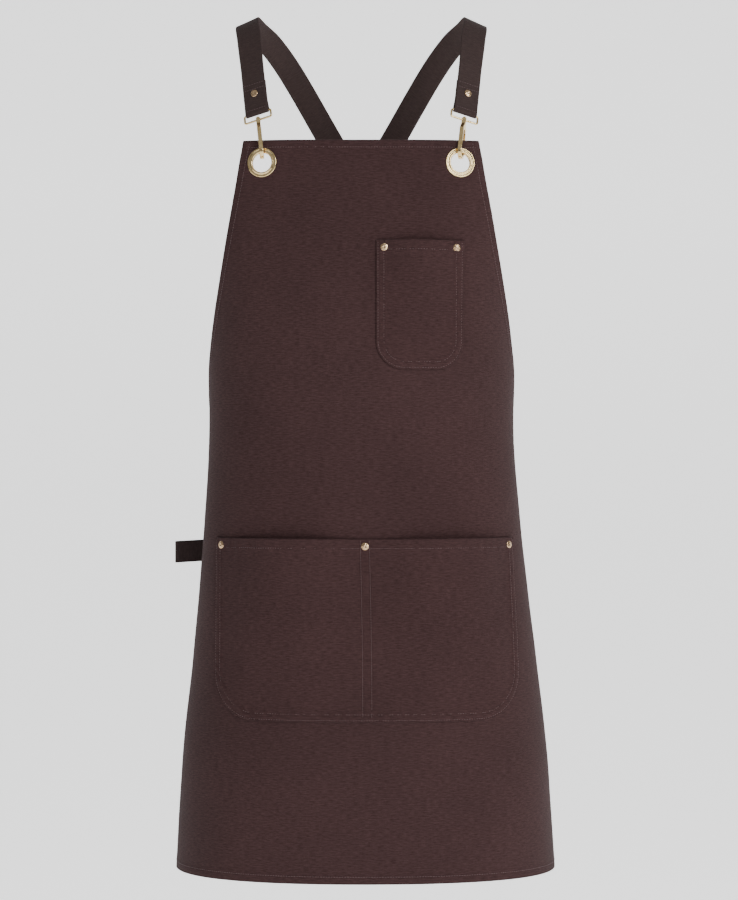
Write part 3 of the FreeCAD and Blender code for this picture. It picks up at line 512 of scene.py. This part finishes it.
def panel_relief(girth, z, side_distance, top_distance, bottom_distance):
    """Lift of the panel's face: hems, and the soft unevenness of hanging cloth."""
    relief = 0.55 * waves(girth, z * 0.5, 3, 210)
    relief = relief + 0.25 * waves(girth, z, 4, 70)
    hems = (side_distance, z, 11), (top_distance, girth, 12), (bottom_distance, girth, 13)
    for distance, along, seed in hems:
        relief = relief + hem_relief(distance, along, (HEM_SEAM,), seed)
    return relief


def eyelet_clear(girth, z):
    """1 away from the eyelets, 0 under them, so that no relief lifts the cloth through a flange."""
    away = np.hypot(np.abs(girth) - EYELET_GIRTH, z - EYELET_Z)
    return smooth_step((away - 20) / 14)


def make_panel():
    half, height, widen = panel_rows()
    band = np.array([0, 0.5, 1, 2, 3, 4, 5, 6, 6.8, 7.4, 8, 8.6, 9.2, 10, 10.8, 11.6, 12.6, 14, 16])
    inner_count = 120
    s = np.linspace(-1, 1, inner_count + 1)[1:-1]
    rows = []
    for h, wide in zip(half, widen):
        edge = band * min(wide, MOST_WIDE)
        inner = (h - edge[-1]) * s
        rows.append(np.concatenate([-(h - edge), inner, (h - edge)[::-1]]))
    girth = np.array(rows)
    z = np.broadcast_to(height[:, None], girth.shape)
    side_distance = (half[:, None] - np.abs(girth)) / np.minimum(widen, MOST_WIDE)[:, None]
    clear = eyelet_clear(girth, z)
    relief = panel_relief(girth, z, side_distance, BIB_TOP - z, z - HEM) * clear
    hem = 1 - smooth_step((np.minimum(np.minimum(side_distance, BIB_TOP - z), z - HEM) - HEM_WIDTH) / 1.0)
    front = PANEL_FACE + 0.55 * relief
    back = front - CLOTH - 0.7 * hem * clear
    piece = sheet_piece("apron_cloth", girth, z, front, back, material=CANVAS)
    cut_holes(piece)
    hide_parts("apron_panel")


def cut_holes(piece):
    """Round holes in the panel for the eyelet barrels."""
    for centre, normal in zip(EYELET_CENTRES, EYELET_NORMALS):
        bpy.ops.mesh.primitive_cylinder_add(vertices=48, radius=(EYELET_BORE + 0.6) * MM, depth=0.02,
                                            location=(centre * MM).tolist())
        cutter = bpy.context.object
        cutter.rotation_euler = Vector(normal).to_track_quat("Z", "Y").to_euler()
        cut = piece.modifiers.new("hole", "BOOLEAN")
        cut.operation = "DIFFERENCE"
        cut.object = cutter
        bpy.context.view_layer.objects.active = piece
        bpy.ops.object.modifier_apply(modifier="hole")
        bpy.data.objects.remove(cutter)


def panel_stitches():
    t = np.linspace(0.004, 1, 200)
    half, z = bib_edge(t)
    z = np.concatenate([z, np.linspace(WAIST - 5, HEM + HEM_SEAM, 160)])
    half = np.concatenate([half, np.full(160, SKIRT_HALF)])
    widen = np.sqrt(1 + np.gradient(half, z) ** 2)
    edge = half - HEM_SEAM * np.minimum(widen, MOST_WIDE)
    paths = [cloth_path(side * edge, z, PANEL_FACE) for side in (-1, 1)]
    across = np.linspace(-1, 1, 240)
    paths.append(cloth_path(across * (BIB_HALF - 3), BIB_TOP - HEM_SEAM, PANEL_FACE))
    paths.append(cloth_path(across * (SKIRT_HALF - 5), HEM + HEM_SEAM, PANEL_FACE))
    return stitches("hem_stitches", paths)


# ---------------------------------------------------------------- pockets

def rounded_rows(low, high, top, bottom, radius):
    """Rows of a pocket: left and right girths and heights, with round lower corners."""
    straight = spaced(bottom + radius, top, 1.0, 5.0, 15.0)[::-1]
    angle = np.linspace(0, math.pi / 2, 34)[1:]
    z = np.concatenate([straight, bottom + radius * (1 - np.sin(angle))])
    inset = np.concatenate([np.zeros(len(straight)), radius * (1 - np.cos(angle))])
    return low + inset, high - inset, z


def rim_distance(girth, z, low, high, bottom, radius):
    """Distance in from a pocket's sides and rounded bottom; its top doesn't count."""
    centre, half = (low + high) / 2, (high - low) / 2
    x = np.abs(girth - centre) - (half - radius)
    y = (bottom + radius) - z
    corner = np.hypot(np.maximum(x, 0), np.maximum(y, 0))
    return radius - np.where((x > 0) | (y > 0), corner, np.maximum(x, y))


def offset_path(low, high, top, bottom, radius, inset):
    """Line inside a pocket's sides and bottom: girths and heights from top left round to top right."""
    r = max(radius - inset, 1.0)
    angle = np.linspace(0, math.pi / 2, 30)
    left = np.full(60, low + inset), np.linspace(top, bottom + radius, 60)
    curve = low + radius - r * np.cos(angle), bottom + radius - r * np.sin(angle)
    base = np.linspace(low + radius, high - radius, 90), np.full(90, bottom + inset)
    back = (low + high) - curve[0][::-1], curve[1][::-1]
    right = np.full(60, high - inset), np.linspace(bottom + radius, top, 60)
    return tuple(np.concatenate(parts) for parts in zip(left, curve, base, back, right))


RIM_SEAMS = (1.6, 8.4)
SWELL_SHARE = 0.86


def pocket_swell(t, s, parted):
    """Share of a pocket's swell by depth and place across: one swell, or one each side of a seam."""
    across = np.minimum(np.abs(2 * np.abs(s) - 1 if parted else s) / SWELL_SHARE, 1)
    return (1 - across**2) ** 2 * (1 - t) ** 2 * (1 + 2 * t)


def make_pocket(name, node_name, low, high, top, bottom, radius, swell, seams, seed):
    """Patch pocket: hemmed mouth, sides and bottom turned under and sewn down with two rows."""
    left, right, height = rounded_rows(low, high, top, bottom, radius)
    band = np.array([0, 0.5, 1, 1.6, 2.2, 3, 4, 5, 6, 6.8, 7.6, 8.4, 9.2, 10, 11, 12.5, 14.5])
    inner = np.linspace(0, 1, int((high - low) / 3.2))
    rows = []
    for a, b in zip(left, right):
        scale = min(1.0, (b - a) / (high - low) * 2)
        edge = band * scale
        middle = a + edge[-1] + (b - a - 2 * edge[-1]) * inner[1:-1]
        middle = np.concatenate([[a + edge[-1]], middle, [b - edge[-1]]])
        rows.append(np.concatenate([(a + edge)[:-1], middle, (b - edge[::-1])[1:]]))
    girth = np.array(rows)
    z = np.broadcast_to(height[:, None], girth.shape)
    rim = rim_distance(girth, z, low, high, bottom, radius)
    t = (z - top) / (bottom - top)
    s = (girth - (low + high) / 2) / ((high - low) / 2)
    lift = 0.35 * waves(girth, z, seed, 90) * smooth_step(rim / 20)
    lift = lift + hem_relief(rim, girth + z, RIM_SEAMS, seed + 1)
    lift = lift + hem_relief(top - z, girth, (POCKET_HEM_SEAM,), seed + 2) * smooth_step(rim / 6)
    for seam in seams:
        away = girth - seam
        for line in (-SEAM_HALF, SEAM_HALF):
            lift = lift - 0.5 * np.exp(-((away - line) / 1.2) ** 2)
        pucker = 0.2 * np.sin(z * 2 * math.pi / 11 + 1.3) + 0.2 * np.sin(z * 2 * math.pi / 7.3)
        lift = lift + pucker * np.exp(-(np.abs(away) / 9) ** 2)
    lift = lift + swell * pocket_swell(t, s, seams)
    hem = 1 - smooth_step((np.minimum(rim, top - z) - HEM_WIDTH) / 1.0)
    mouth = 1 - smooth_step((top - z - POCKET_HEM) / 1.0)
    front = PATCH_FACE + lift
    back = front - CLOTH - 0.35 - 0.5 * np.maximum(hem * 0.3, mouth)
    back = np.maximum(back, CLOTH + 0.12)
    piece = sheet_piece(name, girth, z, front, back, material=POCKET_CANVAS)
    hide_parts(node_name)
    paths = []
    for inset in RIM_SEAMS:
        g, h = offset_path(low, high, top - 1.5, bottom, radius, inset)
        paths.append(cloth_path(g, h, PATCH_FACE - 0.1))
    across = np.linspace(low + 2.5, high - 2.5, 160)
    across_t = POCKET_HEM / (top - bottom)
    across_s = (across - (low + high) / 2) / ((high - low) / 2)
    rise = swell * pocket_swell(across_t, across_s, seams)
    paths.append(cloth_path(across, top - POCKET_HEM_SEAM, PATCH_FACE - 0.1 + rise))
    for seam in seams:
        for line in (-SEAM_HALF, SEAM_HALF):
            paths.append(cloth_path(seam + line, np.linspace(top - 1, bottom + 1.5, 90), PATCH_FACE - 0.15))
    stitches(name + "_stitches", paths)


# ---------------------------------------------------------------- turned and placed hardware

def frame_points(points, origin, across, up):
    """Points from a piece's own axes (across, depth, up) to their place."""
    depth = np.cross(up, across)
    return origin + points[:, :1] * across + points[:, 1:2] * depth + points[:, 2:] * up


def turned(name, profile, origin, across, up, segments=64, bumps=None, **kwargs):
    """Closed ring or dome turned about its own Z from an outline of (radius, height)."""
    profile = np.asarray(profile, float)
    angle = np.arange(segments) * 2 * math.pi / segments
    r, h = profile[:, :1], profile[:, 1:2]
    height = h + (bumps(r, angle) if bumps else 0) + np.zeros_like(angle)
    points = np.stack([r * np.cos(angle), r * np.sin(angle), height], axis=-1)
    rows = len(profile)
    faces = []
    for i in range(rows):
        n = (i + 1) % rows
        for k in range(segments):
            j = (k + 1) % segments
            faces.append((i * segments + k, i * segments + j, n * segments + j, n * segments + k))
    placed = frame_points(points.reshape(-1, 3), origin, across, up)
    return mesh_piece(name, placed, faces, **kwargs)


def arc(centre, radius, start, end, count=10):
    angle = np.radians(np.linspace(start, end, count))
    return [(centre[0] + radius * math.cos(a), centre[1] + radius * math.sin(a)) for a in angle]


EYELET_PROFILE = (
    arc((EYELET_FLANGE - 1.1, 0.15), 1.1, 0, 110, 8)
    + [(EYELET_FLANGE - 2.3, 0.95), (EYELET_FLANGE - 2.8, 0.75), (EYELET_FLANGE - 3.3, 0.85)]
    + arc((EYELET_BORE + 1.3, 0.3), 1.35, 70, 180, 10)
    + [(EYELET_BORE, -1.0), (EYELET_BORE, -3.3), (EYELET_BORE + 0.7, -4.2), (EYELET_BORE + 1.3, -3.6),
       (EYELET_BORE + 0.75, -2.8), (EYELET_BORE + 0.75, 0.02), (EYELET_FLANGE - 0.2, 0.02)]
)
WASHER_PROFILE = [
    (EYELET_BORE + 0.9, -2.6), (EYELET_FLANGE - 0.2, -2.6), (EYELET_FLANGE, -2.9),
    (EYELET_FLANGE - 0.5, -3.35), (EYELET_BORE + 2.0, -3.35), (EYELET_BORE + 0.9, -3.0),
]


def make_eyelets():
    for side, centre, normal in zip(("left", "right"), EYELET_CENTRES, EYELET_NORMALS):
        seat = centre + normal * CLOTH
        around = unit(np.cross(np.array([0, 0, 1.0]), normal))
        kwargs = {"material": BRASS, "slot": "brass", "segments": 96}
        ring = turned(f"{side}_eyelet_ring", EYELET_PROFILE, seat, around, normal, **kwargs)
        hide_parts(f"{side}_eyelet")
        washer = turned(f"{side}_washer", WASHER_PROFILE, seat, around, normal, **kwargs)
        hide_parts(f"{side}_eyelet_washer")


RIVET_PROFILE = [
    (4.4, 0.0), (4.6, 0.25), (4.55, 0.6), (4.3, 1.0), (3.9, 1.25), (3.4, 1.4), (2.9, 1.5), (2.5, 1.62),
    (2.1, 1.78), (1.75, 1.86), (1.4, 1.8), (1.1, 1.55), (0.7, 1.38), (0.3, 1.32), (0.02, 1.3), (0.02, 0.0),
]
BURR_PROFILE = [
    (4.0, 0.0), (4.0, -0.5), (3.6, -0.9), (2.6, -1.1), (1.7, -1.5), (1.0, -1.6), (0.02, -1.45), (0.02, 0.0),
]


def petals(r, angle):
    """Shallow rosette round a rivet's dome."""
    return 0.16 * np.exp(-((r - 3.1) / 0.8) ** 2) * np.cos(8 * angle)


def rivet(name, point, normal, back):
    """Rosette cap in front, and a burr at a depth behind."""
    around = unit(np.cross(np.array([0.02, 0.01, 1.0]), normal))
    cap = turned(name + "_cap", RIVET_PROFILE, point, around, normal, segments=48, bumps=petals,
                 material=RIVET_BRASS, slot="rivet_brass")
    burr = turned(name + "_burr", BURR_PROFILE, point - normal * back, around, normal, segments=32,
                  material=RIVET_BRASS, slot="rivet_brass")
    return cap, burr


# Girths and height of each pocket's rivets.
RIVET_ROWS = {
    "chest_pocket": ((26.7, 111.0), -278.0),
    "waist_pocket": ((-175.5, POUCH_SEAM, 185.0), -624.5),
}


def make_pocket_rivets():
    for pocket, (girths, z) in RIVET_ROWS.items():
        for number, girth in enumerate(girths, 1):
            point = cloth(girth, z, 2 * CLOTH + 0.7)
            rivet(f"{pocket}_rivet_{number}", point, cloth_normal(girth, z), 2 * CLOTH + 1.0)
        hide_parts(f"{pocket}_rivet_caps")
        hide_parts(f"{pocket}_rivet_posts")


# ---------------------------------------------------------------- webbing

# Distance in from a strap's edge, and share of its thickness there.
WOVEN_EDGE = [(0.5, 0.85), (1.4, 1.1), (2.4, 1.0), (6.0, 0.96)]


def ribbon_section(width, thickness):
    """Cross-section of a strap: flat with a slightly thicker woven edge, as (across, height) points."""
    half, t = width / 2, thickness / 2
    top = [(inset - half, t * share) for inset, share in WOVEN_EDGE] + [(0, t * WOVEN_EDGE[-1][1])]
    top += [(half - inset, t * share) for inset, share in reversed(WOVEN_EDGE)]
    return np.array([(-half, 0)] + top + [(half, 0)] + [(x, -h) for x, h in reversed(top)])


def ribbon(name, centres, across, normals, width=STRAP_WIDTH, thickness=STRAP_T, mirror=False, **kwargs):
    """Strap along a line of centres, as one closed mesh."""
    loop = ribbon_section(width, thickness)
    rows, n = len(centres), len(loop)
    points = (centres[:, None] + across[:, None] * loop[None, :, :1] + normals[:, None] * loop[None, :, 1:])
    lengths = np.concatenate([[0], np.cumsum(np.linalg.norm(np.diff(centres, axis=0), axis=1))])
    flat = np.broadcast_arrays(loop[:, 0], lengths[:, None])
    uv = np.stack(flat, axis=-1)
    points = points.reshape(-1, 3).copy()
    faces = []
    for i in range(rows - 1):
        for k in range(n):
            j = (k + 1) % n
            faces.append((i * n + k, i * n + j, (i + 1) * n + j, (i + 1) * n + k))
    faces.append(list(range(n))[::-1])
    faces.append([(rows - 1) * n + k for k in range(n)])
    if mirror:
        points[:, 0] *= -1
    else:
        faces = [f[::-1] for f in faces]
    return mesh_piece(name, points, faces, uv=uv.reshape(-1, 2), **kwargs), lengths[-1]


def eased(path, step, times):
    """Even places along a path, with its corners rounded."""
    stops, _ = walk(path, step)
    for _ in range(times):
        stops[1:-1] = (stops[:-2] + 2 * stops[1:-1] + stops[2:]) / 4
    return stops


def side_line(profile, bend=1.2, step=1.2):
    """A strap's path seen from its side, (depth, height), with small round corners, evenly spaced."""
    return eased(np.asarray(profile, float), step, int(bend * 3))


def placed_strip(name, profile, origin, across, up, bend=1.2, **kwargs):
    """Strap piece that follows a side profile in the axes of a frame on the strap."""
    line = side_line(profile, bend)
    depth = np.cross(up, across)
    centres = origin + line[:, :1] * depth + line[:, 1:] * up
    tangent = unit(np.gradient(centres, axis=0))
    normal = unit(np.cross(tangent, across))
    return ribbon(name, centres, np.broadcast_to(across, centres.shape), normal, **kwargs)


WIRE_R, WIRE_GAP = 1.2, 0.1
NEAR = WIRE_R + WIRE_GAP
FOLD = NEAR + STRAP_T / 2
FRONT_STRAIGHT, FOLD_HEIGHT = 46.0, 39.0
STRAP_RIVET_HEIGHT = 25.0
STRAP_SEAMS = (4.2, 31.0, 37.5)
SEAM_REACH, TAB_SEAM_REACH = 13.0, 12.5
FRONT_EASE, BACK_EASE = 16.0, 24.0
RING_DROP = 12.0
TAB_RISE, TAB_LEG = 26.0, 24.0
TAB_INSIDE, TAB_OUTSIDE = 5.4, 1.5
BACK_STRAIGHT = 165.0
SLIDER_HEIGHT, LOOP_END = 78.0, 16.0
SLIDER_BAR_T, SLIDER_BAR_W = 1.4, 3.0
LAYER_GAP = 0.1


def joint(name):
    return next(j for j in frame["joints"] if j["name"] == name)


def front_end():
    """Hook frame's top bar on the right, with the strap's across and up, read from the joints."""
    tilt, swivel = joint("right_frame_tilt"), joint("right_hook_swivel")
    return np.array(tilt["pos_m"]) / MM, unit(np.array(tilt["axis"])), unit(np.array(swivel["axis"]))


def back_end():
    """Ring's top bar at the left waist corner, with the right shoulder strap's across and up."""
    root = cloth(-TAB_GIRTH, TAB_Z, CLOTH / 2)
    up = unit(CROSSING - root)
    across = unit(np.cross(cloth_normal(-TAB_GIRTH, TAB_Z), up))
    return root + up * (TAB_RISE + RING_DROP), across, up


def strap_stations(shift):
    bar, across, up = front_end()
    depth = np.cross(up, across)
    start = bar - depth * FOLD + up * FRONT_STRAIGHT
    ring, back_across, back_up = back_end()
    finish = ring + np.cross(back_up, back_across) * FOLD + back_up * BACK_STRAIGHT
    behind = np.array([0, shift, 0])
    middle = [
        ((133.5, -36, -22), (0.94, 0.18, -0.28)),
        ((136.5, -12, -STRAP_T / 2), (0.91, 0.20, -0.37)),
        ((128.0, 13, -6), (0.86, 0.24, -0.45)),
        ((110.5, 38, -20), (0.82, 0.24, -0.51)),
        ((86.0, 62, -52), (0.83, 0.18, -0.52)),
        ((42.0, 83, -126), (0.86, 0.07, -0.50)),
        (tuple(CROSSING + behind), (0.88, 0.00, -0.47)),
    ]
    stations = [(start, across), (start + up * FRONT_EASE, across)] + middle
    stations += [(finish + back_up * BACK_EASE, back_across), (finish, back_across)]
    return np.array([s[0] for s in stations], float), np.array([s[1] for s in stations], float)


def strap_rows(shift):
    """Centres, across vectors and normals of a shoulder strap, from its folded front end to the ring."""
    bar, across, up = front_end()
    depth = np.cross(up, across)
    meet = STRAP_T / 2 - NEAR
    angle = np.linspace(0, math.pi, 9)
    profile = [(meet, FOLD_HEIGHT), (meet, 14.0), (FOLD * 0.8, 4.0), (FOLD, 1.0)]
    profile += [(FOLD * math.cos(a), -FOLD * math.sin(a)) for a in angle] + [(-FOLD, FRONT_STRAIGHT)]
    line = side_line(profile, 1.0, 1.0)
    front = bar + line[:, :1] * depth + line[:, 1:] * up
    points, widths = strap_stations(shift)
    places = np.concatenate([[0], np.cumsum(np.linalg.norm(np.diff(points, axis=0), axis=1))])
    at = np.linspace(0, places[-1], 240)[1:]
    middle, middle_across = hermite(places, points, at), hermite(places, widths, at)
    ring, back_across, back_up = back_end()
    down = np.linspace(BACK_STRAIGHT, 0, 60)[1:]
    back = ring + np.cross(back_up, back_across) * FOLD + down[:, None] * back_up
    centres = np.concatenate([front, middle, back])
    wide = np.concatenate([np.broadcast_to(across, front.shape), middle_across,
                           np.broadcast_to(back_across, back.shape)])
    tangent = unit(np.gradient(centres, axis=0))
    wide = unit(wide - tangent * np.sum(wide * tangent, axis=1, keepdims=True))
    return centres, wide, unit(np.cross(tangent, wide))


def flipped(points):
    points = np.array(points, float)
    points[..., 0] *= -1
    return points


def seam_path(points, normal, mirror):
    """Stitch path along points that share a normal."""
    if mirror:
        points, normal = flipped(points), flipped(normal)
    return np.array([(*point, *normal) for point in points])


def make_strap(side):
    """One shoulder strap with its folded end, stitching and rivet, and its adjuster at the back."""
    mirror = side == "left"
    shift = -CROSSING_GAP if mirror else CROSSING_GAP
    centres, wide, normals = strap_rows(shift)
    strap, length = ribbon(f"{side}_shoulder_strap", centres, wide, normals, mirror=mirror,
                           material=WEBBING, slot="webbing")
    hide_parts(f"{side}_strap")
    bar, across, up = front_end()
    depth = np.cross(up, across)
    face = bar - depth * (FOLD + STRAP_T / 2)
    paths = []
    for height in STRAP_SEAMS:
        points = [face + across * x + up * height for x in np.linspace(-SEAM_REACH, SEAM_REACH, 12)]
        paths.append(seam_path(points, -depth, mirror))
    stitches(f"{side}_strap_stitches", paths)
    point = face + up * STRAP_RIVET_HEIGHT - depth * 0.1
    normal = -depth
    if mirror:
        point, normal = flipped(point), flipped(normal)
    cap, burr = rivet(f"{side}_strap_rivet", point, normal, 2 * STRAP_T + 0.2)
    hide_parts(f"{side}_strap_rivet_cap")
    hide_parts(f"{side}_strap_rivet_post")
    make_adjuster(side, mirror)


def make_adjuster(side, mirror):
    """Sewn tab, return layer and end loop of the back adjuster; the ring and slider are metal nodes."""
    ring, across, up = back_end()
    kwargs = {"mirror": mirror, "material": WEBBING, "slot": "webbing"}
    low = -RING_DROP
    angle = np.linspace(0, math.pi, 9)
    turn = [(FOLD * math.cos(a), low + FOLD * math.sin(a)) for a in angle]
    run = TAB_RISE + TAB_LEG
    over, under = TAB_OUTSIDE + STRAP_T / 2, -TAB_INSIDE - STRAP_T / 2
    profile = [(over, low - run), (over, low - TAB_RISE), (FOLD, low - 4)] + turn
    profile += [(-FOLD, low - 4), (under, low - TAB_RISE), (under, low - run)]
    tab, length = placed_strip(f"{side}_tab", profile, ring, across, up, **kwargs)
    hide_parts(f"{side}_ring_tab")
    layer = FOLD - STRAP_T - 2 * LAYER_GAP
    top = SLIDER_HEIGHT - LOOP_END - SLIDER_BAR_W
    turn = [(FOLD * math.cos(a), -FOLD * math.sin(a)) for a in angle]
    profile = turn + [(layer, top)]
    back, length = placed_strip(f"{side}_return_layer", profile, ring, across, up, bend=0.7, body=None,
                                **kwargs)
    ends = np.array([ring, ring + up * top]) * MM
    (flipped(ends) if mirror else ends).tolist()
    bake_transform(back)
    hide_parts(f"{side}_strap_return")
    bar = layer - STRAP_T / 2 - LAYER_GAP - SLIDER_BAR_T / 2
    reach = SLIDER_BAR_T / 2 + LAYER_GAP + STRAP_T / 2
    rise = SLIDER_HEIGHT + SLIDER_BAR_W / 2 + LAYER_GAP
    turn = [(bar + reach * math.cos(a), rise + reach * math.sin(a)) for a in angle]
    profile = [(layer, top + 0.3), (layer, rise - 2)] + turn + [(bar - reach, SLIDER_HEIGHT - LOOP_END)]
    loop, length = placed_strip(f"{side}_end_loop", profile, ring, across, up, bend=0.7,
                                body=f"{side}_slider", **kwargs)
    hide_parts(f"{side}_strap_end_loop")
    depth = np.cross(up, across)

    def seam(places, heights, face, way):
        points = [ring + across * x + up * h + depth * face for x, h in np.broadcast(places, heights)]
        return seam_path(points, depth * way, mirror)

    seam_low, seam_high = low - run + 4, low - TAB_RISE - 3
    faces = (over + STRAP_T / 2, 1), (under - STRAP_T / 2, -1)
    paths = [seam(np.linspace(-TAB_SEAM_REACH, TAB_SEAM_REACH, 9), height, *face)
             for height in (seam_low, seam_high) for face in faces]
    paths += [seam(x, np.linspace(seam_low, seam_high, 8), *face)
              for x in (-TAB_SEAM_REACH, TAB_SEAM_REACH) for face in faces]
    stitches(f"{side}_tab_stitches", paths)
    path = seam(np.linspace(-SEAM_REACH, SEAM_REACH, 9), SLIDER_HEIGHT - LOOP_END + 3,
                bar - reach - STRAP_T / 2, -1)
    stitches(f"{side}_loop_stitches", [path], body=f"{side}_slider")


# ---------------------------------------------------------------- towel loop

LOOP_Z, LOOP_WIDTH, LOOP_T, LOOP_REACH, LOOP_OPEN = -634.0, 26.0, 1.5, 38.0, 7.0
LOOP_ANGLE, LOOP_FOOT, LOOP_ROOT, LOOP_DROOP = 103.0, 22.0, 3.3, 0.06


def make_towel_loop():
    """Folded tape that stands out of the side, its ends sewn flat behind the side hem."""
    girths = np.arange(150, 340, 0.5)
    points = lookup(FORM_POINTS, girths, np.full(len(girths), LOOP_Z))
    half, _, side, back, _, drift = hermite(FORM[:, 0], FORM[:, 1:], LOOP_Z)[0]
    angle = np.degrees(np.arctan2((points[:, 0] - drift) / half, (side - points[:, 1]) / back))
    girth = -girths[np.argmax(angle >= LOOP_ANGLE)]
    root = cloth(girth, LOOP_Z, LOOP_ROOT)
    gap = LOOP_OPEN / 2 + LOOP_T / 2
    tip = LOOP_REACH - LOOP_OPEN / 2 - LOOP_T
    foot_g = np.linspace(girth - LOOP_FOOT, girth - 3, 14)
    foot = cloth(foot_g, LOOP_Z, CLOTH + LAYER_GAP + LOOP_T * 0.55)
    foot_upper = cloth(foot_g, LOOP_Z, CLOTH + LAYER_GAP + LOOP_T * 1.6)
    out = np.array([-1.0, 0, 0])
    back_way = np.array([0, 1.0, 0])

    def at(reach, depth):
        return root + out * reach + back_way * depth

    bow = [at(tip + gap * math.sin(a), -gap * math.cos(a)) for a in np.linspace(0, math.pi, 12)]
    lower = [at(2, -LOOP_T * 0.55), at(8, -LOOP_T * 0.7)]
    upper = [at(8, LOOP_T * 0.7), at(2, LOOP_T * 0.55)]
    path = np.array(list(foot) + lower + bow + upper + list(foot_upper[::-1]))
    path[:, 2] = LOOP_Z - LOOP_DROOP * np.maximum(root[0] - path[:, 0], 0)
    stops = eased(path, 1.0, 6)
    tangent = unit(np.gradient(stops, axis=0))
    across = np.broadcast_to(np.array([0, 0, 1.0]), stops.shape)
    # The tape's colour is darkened as painted shade.
    piece, length = ribbon("towel_tape", stops, across, unit(np.cross(tangent, across)), width=LOOP_WIDTH,
                           thickness=LOOP_T * 0.9, material=SHADED_TAPE, slot="webbing")
    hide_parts("towel_loop")


# ---------------------------------------------------------------- metal nodes

def finish_metal():
    for side in ("left", "right"):
        for name in ("hook_frame", "hook_body", "hook_gate", "gate_pin", "strap_ring", "strap_slider"):
            paint(f"{side}_{name}", BRASS)
        paint(f"{side}_gate_spring", STEEL)


def paint(name, material):
    mesh = frame["nodes"][name].data
    mesh.materials.clear()
    mesh.materials.append(material)


# ---------------------------------------------------------------- stage, light and camera

CAMERA = (0.0092, -3.12, -0.5128)
LENS = 103.8


def make_camera():
    data = bpy.data.cameras.new("camera")
    data.lens = LENS
    data.sensor_width = 36
    camera = bpy.data.objects.new("camera", data)
    camera.location = CAMERA
    camera.rotation_euler = (math.pi / 2, 0, 0)
    bpy.context.scene.collection.objects.link(camera)
    bpy.context.scene.camera = camera


def make_light(name, place, target, size, power):
    data = bpy.data.lights.new(name, "AREA")
    data.energy = power
    data.size = size
    light = bpy.data.objects.new(name, data)
    light.location = place
    way = Vector(target) - Vector(place)
    light.rotation_euler = way.to_track_quat("-Z", "Y").to_euler()
    bpy.context.scene.collection.objects.link(light)


FLOOR_Z = -1.72
FLOOR_HALF = 9.0
WALL_Y = 5.0


def make_stage():
    """Plain pale floor that curves up into a backdrop."""
    bend = 2.0
    profile = [(-FLOOR_HALF, FLOOR_Z), (WALL_Y - bend, FLOOR_Z)]
    profile += [(WALL_Y - bend + bend * math.sin(a), FLOOR_Z + bend * (1 - math.cos(a)))
                for a in np.linspace(0, math.pi / 2, 16)[1:]]
    profile.append((WALL_Y, 7.0))
    points = [(x, y, z) for y, z in profile for x in (-FLOOR_HALF, FLOOR_HALF)]
    faces = [(2 * k, 2 * k + 1, 2 * k + 3, 2 * k + 2) for k in range(len(profile) - 1)]
    mesh = bpy.data.meshes.new("floor")
    mesh.from_pydata(points, [], faces)
    mesh.polygons.foreach_set("use_smooth", [True] * len(faces))
    floor = bpy.data.objects.new("floor", mesh)
    bpy.context.scene.collection.objects.link(floor)
    material, _, _, shader = new_material("floor")
    shader.inputs["Base Color"].default_value = (0.93, 0.93, 0.93, 1)
    shader.inputs["Emission Color"].default_value = (1, 1, 1, 1)
    shader.inputs["Emission Strength"].default_value = 1.0
    shader.inputs["Roughness"].default_value = 0.9
    mesh.materials.append(material)


def make_world():
    world = bpy.data.worlds.new("world")
    world.use_nodes = True
    background = world.node_tree.nodes["Background"]
    nodes, links = world.node_tree.nodes, world.node_tree.links
    split = nodes.new("ShaderNodeSeparateXYZ")
    links.new(nodes.new("ShaderNodeTexCoord").outputs["Generated"], split.inputs["Vector"])
    sky = ramp(nodes, [(0.30, (0.55, 0.54, 0.53)), (0.47, (0.26, 0.26, 0.265)), (0.62, (0.75, 0.76, 0.78)),
                       (0.85, (1.0, 1.0, 1.0))])
    height = maths(nodes, links, "ADD", maths(nodes, links, "MULTIPLY", split.outputs["Z"], 0.5), 0.5)
    links.new(height, sky.inputs["Fac"])
    links.new(sky.outputs["Color"], background.inputs["Color"])
    background.inputs["Strength"].default_value = 0.42
    bpy.context.scene.world = world


make_camera()
make_stage()
make_world()
make_light("key", (2.3, -2.7, 1.0), (0, 0, -0.45), 1.6, 88)
make_light("fill", (-2.6, -2.4, 0.2), (0, 0, -0.5), 2.4, 1)
make_light("back", (0.4, 3.2, 1.6), (0, 0, -0.4), 2.0, 30)

make_panel()
panel_stitches()
make_pocket("chest_patch", "chest_pocket", CHEST["inner"], CHEST["outer"], CHEST["top"], CHEST["bottom"],
            CHEST["corner"], CHEST_SWELL, (), 21)
make_pocket("waist_patch", "waist_pocket", POUCH["middle"] - POUCH["half"], POUCH["middle"] + POUCH["half"],
            POUCH["top"], POUCH["bottom"], POUCH["corner"], POUCH_SWELL, (POUCH_SEAM,), 31)
make_pocket_rivets()
make_eyelets()
make_towel_loop()
for side in ("left", "right"):
    make_strap(side)
finish_metal()
